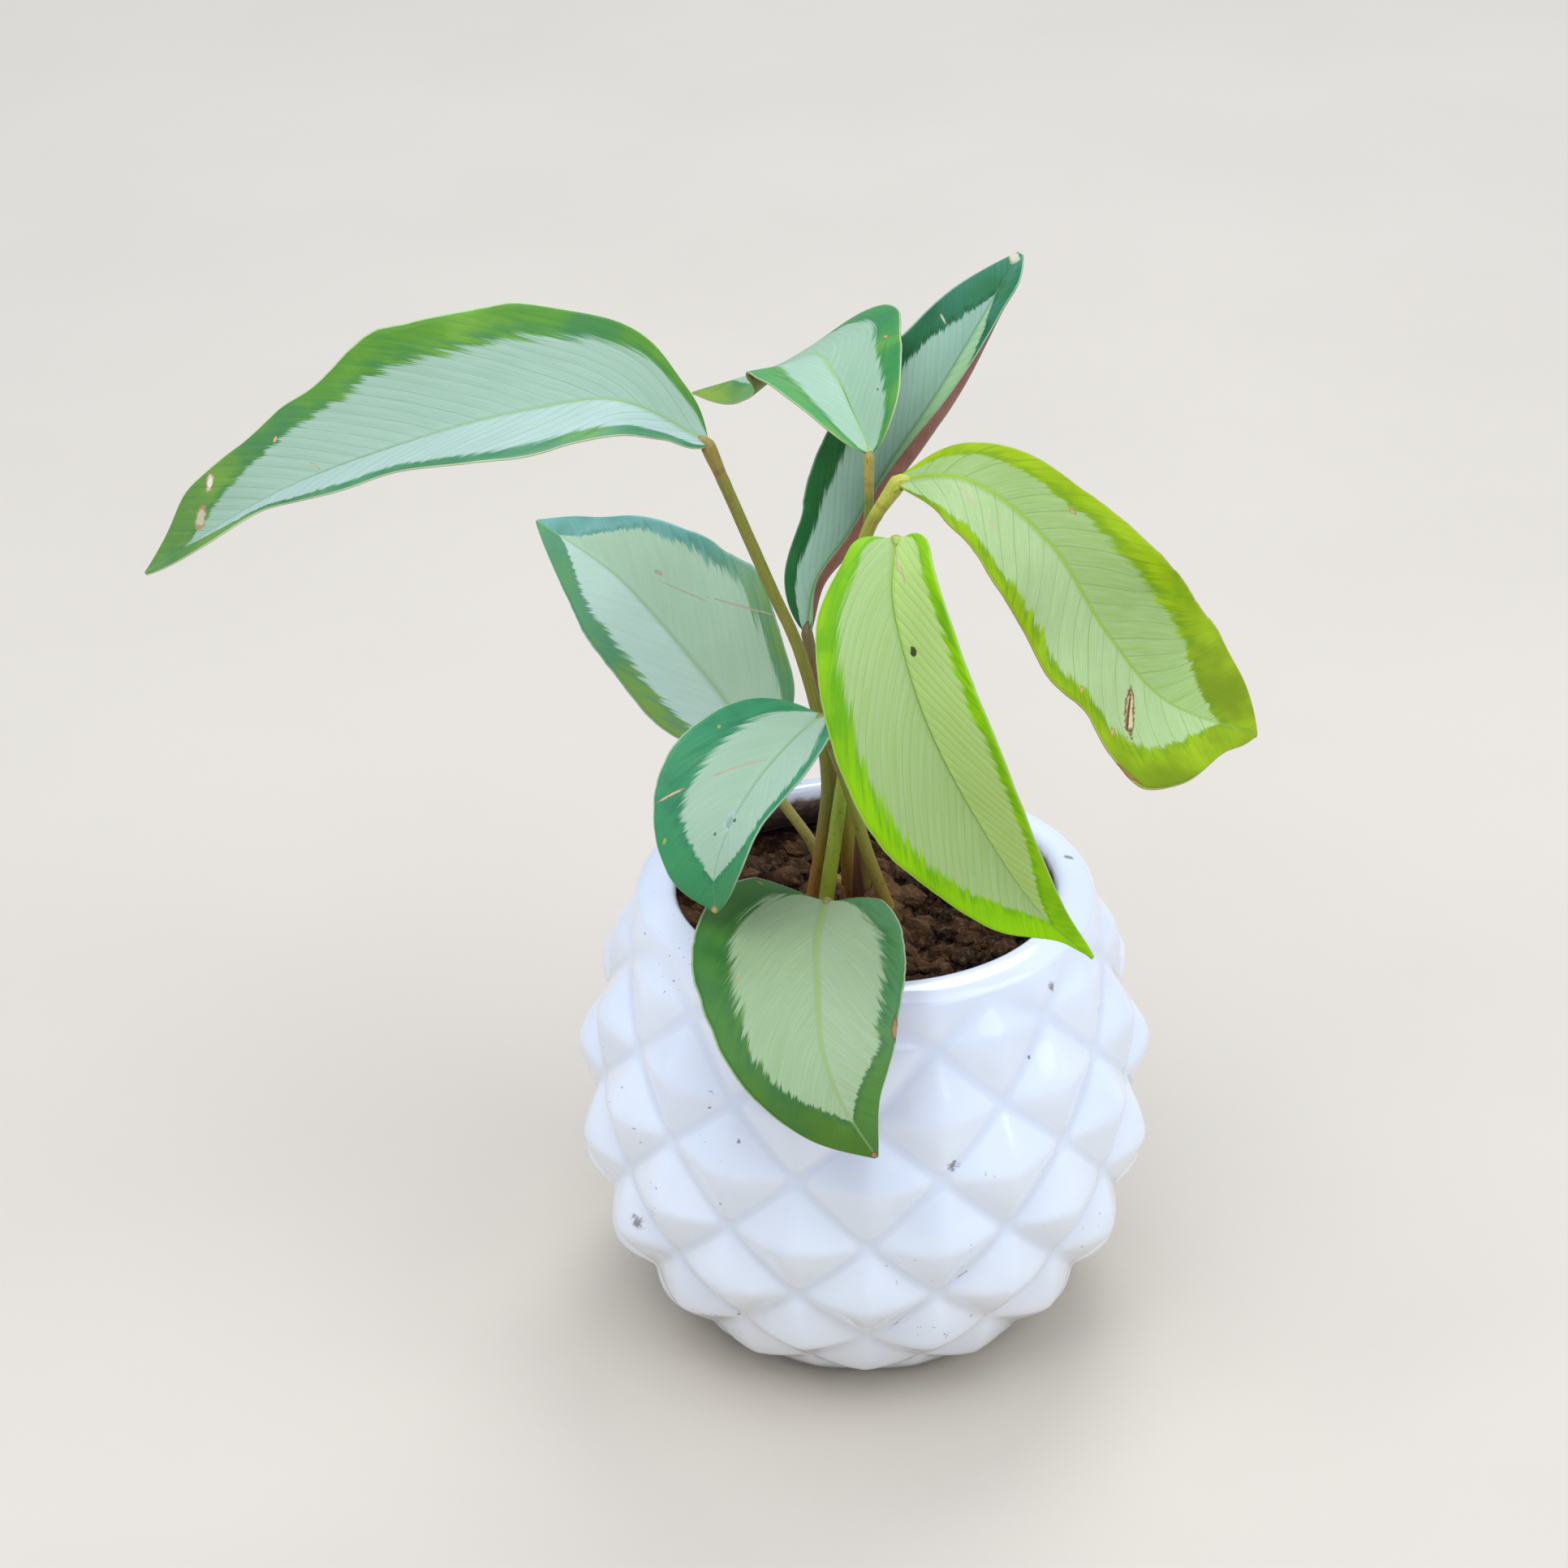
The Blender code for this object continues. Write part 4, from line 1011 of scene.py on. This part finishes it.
def leafFinish(name, leaf, length):
    finish, tree = newFinish(name + "Face")
    place = objectPlace(tree)
    part, span, away, rightness = bladeMaps(tree)
    across = fromMiddle(part)
    rooted, count = veinCount(leaf, span, away, rightness, place)
    luck = chance(scaled(rightness, 31.0, calc("ROUND", count)))
    vein = times(ramp(ridgeOf(count), 0.88, 0.98), scaled(luck, 0.6, 0.45))
    fineVein = ramp(ridgeOf(times(count, 5.0)), 0.6, 1.0)
    streaks, hairs, patches = (alongVeins(rooted, away, rightness, *blade[key])
                               for key in ("streaks", "hairs", "patches"))
    cloudy = noiseAt(place, 55.0, 3.0)
    inside = fieldInside(leaf, part, across, rightness, {
        "feather": streaks, "fringe": hairs, "veinStep": calc("FRACT", count), "drift": patches})
    silver = blend(rightness, leaf["silver"][1], leaf["silver"][0])
    # painted highlight in pale streaks along the veins
    silver = wash(silver, blade["streakHighlight"], streaks, 0.35, 0.7, 0.16)
    silver = wash(silver, leaf["vein"], patches, 0.35, 0.7, 0.12)
    silver = cover(silver, leaf["vein"], vein, 0.8 * leaf["veinShown"])
    silver = cover(silver, leaf["vein"], fineVein, 0.1 * leaf["veinShown"])
    tinge, tingeFrom, tingeTo = leaf["tinge"]
    margin = blend(rightness, leaf["margin"][1], leaf["margin"][0])
    margin = wash(margin, tinge, part[1], tingeFrom, tingeTo, 0.85)
    margin = wash(margin, leaf["fresh"], cloudy, 0.45, 0.68, 0.65)
    margin = wash(margin, leaf["shade"], cloudy, 0.48, 0.32, 0.65)
    nearField = times(ramp(inside, -0.2, -0.02), ramp(patches, 0.35, 0.6))
    margin = cover(margin, leaf["shade"], nearField, 0.6)
    margin = wash(margin, leaf["shade"], streaks, 0.4, 0.75, 0.3)
    margin = cover(margin, leaf["shade"], vein, 0.3)
    face = wash(margin, silver, inside, -0.015, 0.04)
    # midrib, pale at its crown with a green line on each side
    ribReach = scaled(part[1], *blade["ribLine"])
    face = wash(face, leaf["vein"], away, times(ribReach, 2.4), ribReach, 0.35)
    crown = ramp(away, ribReach, times(ribReach, 0.45))
    face = blend(times(crown, ramp(part[1], 1.0, 0.7, 0.25, 0.9)), face, leaf["ribColour"])
    # the thin edge line
    edge = ramp(plus(across, times(cloudy, 0.014)), 0.985, 0.999)
    face = cover(face, leaf["edge"], edge, 0.85)
    worn = 0.0
    for mark in leaf["marks"]:
        face, worn = addMark(face, worn, leaf, length, place, mark)
    # slightly quilted between the veins, with a fine grain
    quilt = times(calc("COSINE", times(count, fullTurn)), ramp(across, 1.0, 0.8, 0.0, -0.5))
    soft = bumpFrom(scaled(vein, -0.5, quilt), blade["quiltBump"] * mm * leaf["veinShown"])
    grain = minus(noiseAt(place, 1500.0), worn)
    satin = scaled(streaks, *blade["satin"])
    return setShader(finish, {
        "Base Color": face, "Roughness": scaled(worn, blade["wornRoughness"], satin),
        "Normal": bumpFrom(grain, blade["grainBump"] * mm, 0.7, soft),
        "Specular IOR Level": leaf["gloss"],
    })


def addMark(face, worn, leaf, length, place, mark):
    # a dry or torn spot with a darker rim
    across, along, wide, long, turn, inner, rim = mark
    side = "right" if across > 0 else "left"
    reachBack = leaf["lobe"] * lobeShare(along) * across * across
    centre = Vector((across * halfWidth(leaf, side, along), along * length - reachBack, 0.0))
    mapping = nodeAfter("ShaderNodeMapping", {
        "Vector": mapPlace(place.id_data, "span"), "Location": centre / mapUnit,
        "Rotation": (0.0, 0.0, math.radians(turn)),
        "Scale": (wide / 2.0 / mapUnit, long / 2.0 / mapUnit, 1.0),
    }, vector_type="TEXTURE")
    reach = vectorCalc("LENGTH", mapping.outputs[0], output="Value")
    ragged = plus(reach, sway(noiseAt(place, 900.0, 3.0), 1.2))
    inside = ramp(ragged, 1.1, 0.85)
    face = cover(face, wash(inner, rim, ragged, 0.5, 0.85), inside, 0.92)
    return face, calc("MAXIMUM", worn, inside)


def underFinish(name, leaf):
    finish, tree = newFinish(name + "Under")
    place = objectPlace(tree)
    part, span, away, rightness = bladeMaps(tree)
    vein = ramp(ridgeOf(veinCount(leaf, span, away, rightness, place)[1]), 0.85, 0.98)
    cloudy = noiseAt(place, 70.0, 4.0, 0.6)
    tone = wash(leaf["under"], leaf.get("underTip", leaf["under"]), part[1], 0.55, 0.95)
    tone = blend(ramp(cloudy, 0.35, 0.75, 0.0, 0.45), tone, blade["underShade"], "MULTIPLY")
    tone = wash(tone, blade["underBlush"], noiseAt(place, 240.0, 3.0), 0.5, 0.8, 0.3)
    tone = cover(tone, blade["underVein"], vein, 0.35)
    ribReach = scaled(part[1], *blade["underRibLine"])
    tone = wash(tone, blade["underRib"], away, ribReach, times(ribReach, 0.5), 0.85)
    soft = bumpFrom(vein, blade["underVeinBump"] * mm)
    return setShader(finish, {
        "Base Color": tone, "Roughness": ramp(cloudy, 0.3, 0.8, *blade["underRoughness"]),
        "Normal": bumpFrom(noiseAt(place, 1400.0), blade["underGrainBump"] * mm, 0.7, soft),
    })


for name, leaf in leaves.items():
    node = "leaf_" + name
    mesh, length = leafMesh(node + "_fine", leaf)
    finishes = [leafFinish(node, leaf, length), underFinish(node, leaf)]
    placePiece(node + "_fine", mesh, finishes, [node])
print("eight leaves grown and painted")


# foot, radii and bends are those of the solids. The colours are those at the foot, on the way and
# at the joint under the blade.
stems = {
    "long_left": {"foot": (-12, 1), "radii": (1.6, 1.3, 1.6),
                  "bends": ((-9.5, 0, 115), (-8.5, 1, 129), (-14.5, 4, 158), (-20.5, 6, 172)),
                  "colours": ("#CC8A44", "#88862A", "#9A8436"), "slot": "stem_olive"},
    "top_folded": {"foot": (0, 8), "radii": (1.4, 1.0, 1.1),
                   "bends": ((-2, 10, 136), (-1, 12, 162), (0, 12, 188)),
                   "colours": ("#866E34", "#7C8A2C", "#B8A448"), "slot": "stem_olive"},
    "tall_back": {"foot": (-8.5, 7), "radii": (1.7, 1.3, 1.3),
                  "bends": ((-7, 9, 122), (-7, 11, 135), (-11, 15, 147)),
                  "colours": ("#AA6438", "#8E6036", "#7A6A3A"), "slot": "stem_brown"},
    "right": {"foot": (-3.5, 2.5), "radii": (1.7, 1.4, 1.8),
              "bends": ((-4, 2, 120), (-4, 1, 151), (-3, 0, 177), (0, -1, 190)),
              "colours": ("#AC6C3A", "#A8A634", "#CACA48"), "slot": "stem_lime"},
    "front": {"foot": (-9.5, -4), "radii": (1.7, 1.4, 1.6),
              "bends": ((-7, -3, 115), (-5, -2, 131), (-1, -5, 155), (3, -13, 182)),
              "colours": ("#B8C63C", "#B0C83A", "#A8B848"), "slot": "stem_green"},
    "back_left": {"foot": (-5, 13), "radii": (1.5, 1.2, 1.3),
                  "bends": ((-8, 13, 98), (-12, 14, 106), (-19, 18, 115)),
                  "colours": ("#A89A48", "#B0A84C", "#A8A048"), "slot": "stem_olive"},
    "small_left": {"foot": (5, -2), "radii": (1.6, 1.3, 1.3),
                   "bends": ((0, -6, 115), (-4, -8, 131)),
                   "colours": ("#BE9A44", "#A0A03C", "#9A9A44"), "slot": "stem_olive"},
    "front_low": {"foot": (-2, -10), "radii": (1.5, 1.2, 1.3),
                  "bends": ((-4, -14, 103),),
                  "colours": ("#7A7A3A", "#8A8A3E", "#9A9444"), "slot": "stem_olive"},
}
# What all stems share. intoBlade is how far the top runs on into the midrib's underside, and the
# share of the joint's radius there. ringBand is in cm down from the blade.
stalk = {
    "depth": 16.0, "rise": 2.0, "topGap": 0.75, "jointLength": 9.0,
    "steps": 70, "crowding": 1.4, "sides": 16,
    "rough": 0.035, "roughSize": 2.5, "ringHeight": 0.10, "ringLength": 0.8,
    "intoBlade": ((0.6, 0.78), (2.4, 0.45)), "footFade": (125.0, 98.0),
    "ringBand": (0.82, 0.88, 0.93, 1.0),
    "darkStreak": "#5A4424", "paleStreak": "#B8B860", "ring": "#6A5028", "dots": "#5A4028",
    "roughness": (0.36, 0.55), "streakBump": 0.18, "grainBump": 0.06,
}


def tubeMesh(name, places, radii):
    # a rod with closed ends, its map running round and down from its top in centimetres
    sides = stalk["sides"]
    total = pathLength(places)
    points, values = [], []
    gone = 0.0
    directions = directionsAlong(places)
    side = directions[0].orthogonal().normalized()
    for index, (place, along, radius) in enumerate(zip(places, directions, radii)):
        side = (side - along * side.dot(along)).normalized()
        other = along.cross(side)
        if index:
            gone += (place - places[index - 1]).length
        for step in range(sides):
            angle = fullTurn * step / sides
            spot = place + side * math.cos(angle) * radius + other * math.sin(angle) * radius
            swell = 1.0 + stalk["rough"] * noise.noise(spot / stalk["roughSize"])
            points.append(place + (spot - place) * swell)
            values.append((step / sides, (total - gone) / mapUnit))
    faces = [tuple(reversed(range(sides))), tuple(range(len(points) - sides, len(points)))]
    for ring in range(len(places) - 1):
        for step in range(sides):
            one = ring * sides + step
            two = ring * sides + (step + 1) % sides
            faces.append((one, two, two + sides, one + sides))
    return meshFrom(name, points, faces, {"span": values})


def stemRadius(radii, share, length):
    foot, middle, joint = radii
    fromTop = (1.0 - share) * length
    jointShare = 1.0 - smoothstep(fromTop / stalk["jointLength"])
    ring = math.exp(-((fromTop - stalk["jointLength"]) / stalk["ringLength"]) ** 2)
    plain = mix(mix(foot, middle, smoothstep(share * 2.0)), joint, jointShare)
    return plain + stalk["ringHeight"] * ring


def stemMesh(name, stem, bladeStart, bladeNext):
    x, y = stem["foot"]
    steps = stalk["steps"]
    ground = soilHeight(x, y)
    foot = Vector((x, y, ground - stalk["depth"]))
    surface = Vector((x, y, ground + stalk["rise"]))
    upper = [Vector(bend) for bend in stem["bends"]]
    top = bladeStart - (bladeStart - upper[-1]).normalized() * stalk["topGap"]
    shares = [1.0 - (1.0 - step / steps) ** stalk["crowding"] for step in range(steps + 1)]
    above = smoothPath([surface, *upper, top], shares)
    length = pathLength(above)
    radii = [stem["radii"][0]] + [stemRadius(stem["radii"], share, length) for share in shares]
    ahead = (bladeNext - bladeStart).normalized()
    for distance, share in stalk["intoBlade"]:
        above.append(bladeStart + ahead * distance)
        radii.append(stem["radii"][2] * share)
    return tubeMesh(name, [foot, *above], radii)


def stemFinish(name, stem):
    finish, tree = newFinish(name + "Skin")
    around, down = split(mapPlace(tree, "span"))[:2]
    place = objectPlace(tree)
    foot, middle, joint = stem["colours"]
    tone = wash(middle, foot, split(place)[2], *metres(stalk["footFade"]))
    jointTop = scaled(noiseAt(place, 200.0), 0.3, 0.75)
    tone = wash(tone, joint, down, plus(jointTop, 0.35), jointTop)
    angle = times(around, fullTurn)
    grain = join(times(calc("COSINE", angle), 2.4), times(calc("SINE", angle), 2.4), times(down, 0.9))
    streaks = noiseAt(grain, 2.0, 4.0, 0.65)
    tone = wash(tone, stalk["darkStreak"], streaks, 0.45, 0.75, 0.3)
    tone = wash(tone, stalk["paleStreak"], streaks, 0.5, 0.25, 0.35)
    start, full, fading, end = stalk["ringBand"]
    tone = cover(tone, stalk["ring"], times(ramp(down, start, full), ramp(down, end, fading)), 0.3)
    tone = wash(tone, stalk["dots"], noiseAt(place, 900.0), 0.62, 0.72, 0.4)
    low = bumpFrom(streaks, stalk["streakBump"] * mm, 0.8)
    return setShader(finish, {
        "Base Color": tone, "Roughness": ramp(streaks, 0.3, 0.7, *stalk["roughness"]),
        "Normal": bumpFrom(noiseAt(place, 1800.0), stalk["grainBump"] * mm, 0.6, low),
    })


for name, stem in stems.items():
    node = "stem_" + name
    bladeStart, bladeNext = (Vector(point) for point in leaves[name]["rib"][:2])
    mesh = stemMesh(node + "_fine", stem, bladeStart, bladeNext)
    placePiece(node + "_fine", mesh, [stemFinish(node, stem)], [node])
print("stems set in the soil")


# the dry scales at the foot of the stems, with the radii and points of the solids
sheaths = {
    "tall": {"radii": (1.6, 0.5), "open": 230.0, "turn": -60.0,
             "points": ((-1.5, -1.5, 76), (-1.5, -1.5, 96), (-2, -2.5, 108), (-2.5, -3.3, 118))},
    "short": {"radii": (1.4, 0.5), "open": 210.0, "turn": -100.0,
              "points": ((-5, -4.5, 76), (-5, -4.5, 96), (-5, -6, 102), (-5, -7, 107))},
}
scale = {
    "thickness": 0.35, "rows": 40, "columns": 18, "closing": 0.75, "fray": 0.12,
    "dark": "#4A2018", "middle": "#6E3A26", "dry": "#A87A54", "roughness": (0.5, 0.75), "bump": 0.2,
}


def scaleMesh(name, sheath):
    # a thin scale that wraps round its axis and closes to a point
    columns = scale["columns"]
    shares = [row / scale["rows"] for row in range(scale["rows"] + 1)]
    places = smoothPath(sheath["points"], shares)
    grid = []
    thick, thin = sheath["radii"]
    for share, place, along in zip(shares, places, directionsAlong(places)):
        ahead = direction((sheath["turn"], 0.0))
        ahead = (ahead - along * ahead.dot(along)).normalized()
        side = along.cross(ahead)
        radius = mix(thick, thin, share ** 2)
        opened = sheath["open"] * (1.0 - scale["closing"] * share ** 4)
        row = []
        for column in range(columns + 1):
            angle = math.radians(opened * (column / columns - 0.5))
            spot = Vector((angle * 2.0, share * 9.0, thick))
            frayed = 1.0 + scale["fray"] * noise.noise(spot)
            outward = ahead * math.cos(angle) + side * math.sin(angle)
            row.append(place + outward * radius * frayed)
        grid.append(row)
    normals = gridNormals(grid)
    half = scale["thickness"] / 2.0
    top, bottom = ([[place + normal * shift for place, normal in zip(row, line)]
                    for row, line in zip(grid, normals)] for shift in (half, -half))
    parts = [(column / columns, share) for share in shares for column in range(columns + 1)]
    return sheetMesh(name, top, bottom, parts, parts)


def scaleFinish():
    finish, tree = newFinish("dryScale")
    part = split(mapPlace(tree, "part"))
    place = objectPlace(tree)
    fibres = noiseAt(join(times(part[0], 26.0), times(part[1], 3.0)), 1.0, 4.0, 0.6)
    tone = wash(scale["dark"], scale["middle"], fibres, 0.35, 0.65)
    tone = wash(tone, scale["dry"], part[1], 0.6, 1.0, 0.7)
    tone = wash(tone, scale["dry"], fromMiddle(part), 0.8, 0.98, 0.8)
    coarse = plus(fibres, times(noiseAt(place, 900.0, 3.0), 0.5))
    return setShader(finish, {
        "Base Color": tone, "Roughness": ramp(fibres, 0.3, 0.7, *scale["roughness"]),
        "Normal": bumpFrom(coarse, scale["bump"] * mm),
    })


dryScale = scaleFinish()
for name, sheath in sheaths.items():
    node = "sheath_" + name
    placePiece(node + "_fine", scaleMesh(node + "_fine", sheath), [dryScale], [node])
print("sheath scales wrapped")


# the studio's places and sizes are in metres, apart from the floor and the lens in mm
studio = {
    "floor": "#D8CBB8", "floorShade": "#B9AE9C", "floorHalf": 3000.0, "floorRoughness": 0.8,
    "floorBump": 0.2,
    "sky": "#D6E6FF", "skyStrength": 0.72, "view": "Standard",
    "aim": (0.0, 0.0, 0.1),
    "lamps": (  # place, size, watts and colour
        ((-0.4, -0.5, 1.9), 1.7, 23.0, "#EEF4FF"),
        ((1.1, -0.6, 1.3), 1.6, 10.0, "#E6F0FF"),
        ((0.3, 1.1, 1.7), 0.9, 12.0, "#EEF4FF"),
    ),
    "camera": (-0.01784, -0.79549, 0.57217), "pitch": 29.171, "lens": 97.155, "sensor": 36.0,
}


def makeFloor():
    finish, tree = newFinish("floorPaint")
    place = objectPlace(tree)
    cloudy = noiseAt(place, 6.0, 4.0)
    setShader(finish, {
        "Base Color": wash(studio["floor"], studio["floorShade"], cloudy, 0.3, 0.7, 0.12),
        "Roughness": studio["floorRoughness"],
        "Normal": bumpFrom(noiseAt(place, 300.0, 3.0), studio["floorBump"] * mm, 0.4),
    })
    half = studio["floorHalf"]
    corners = [Vector((x * half, y * half, 0.0)) for x, y in ((-1, -1), (1, -1), (1, 1), (-1, 1))]
    floor = addObject("floor", meshFrom("floor", corners, [(0, 1, 2, 3)]))
    floor.data.materials.append(finish)


def makeLights():
    world = bpy.data.worlds.new("softSky")
    world.use_nodes = True
    sky = world.node_tree.nodes["Background"]
    feed(sky.inputs["Color"], studio["sky"])
    feed(sky.inputs["Strength"], studio["skyStrength"])
    scene.world = world
    for index, (place, size, watts, tint) in enumerate(studio["lamps"]):
        lamp = bpy.data.lights.new("lamp" + str(index), "AREA")
        lamp.shape = "DISK"
        lamp.size = size
        lamp.energy = watts
        lamp.color = colour(tint)[:3]
        item = addObject(lamp.name, lamp)
        item.location = place
        towards = Vector(studio["aim"]) - Vector(place)
        item.rotation_euler = towards.to_track_quat("-Z", "Y").to_euler()
    scene.view_settings.view_transform = studio["view"]


def makeCamera():
    view = bpy.data.cameras.new("camera")
    view.sensor_width = studio["sensor"]
    view.lens = studio["lens"]
    item = addObject("camera", view)
    item.location = studio["camera"]
    item.rotation_euler = (math.radians(90.0 - studio["pitch"]), 0.0, 0.0)
    scene.camera = item


makeFloor()
makeLights()
makeCamera()
print("floor, light and camera set")
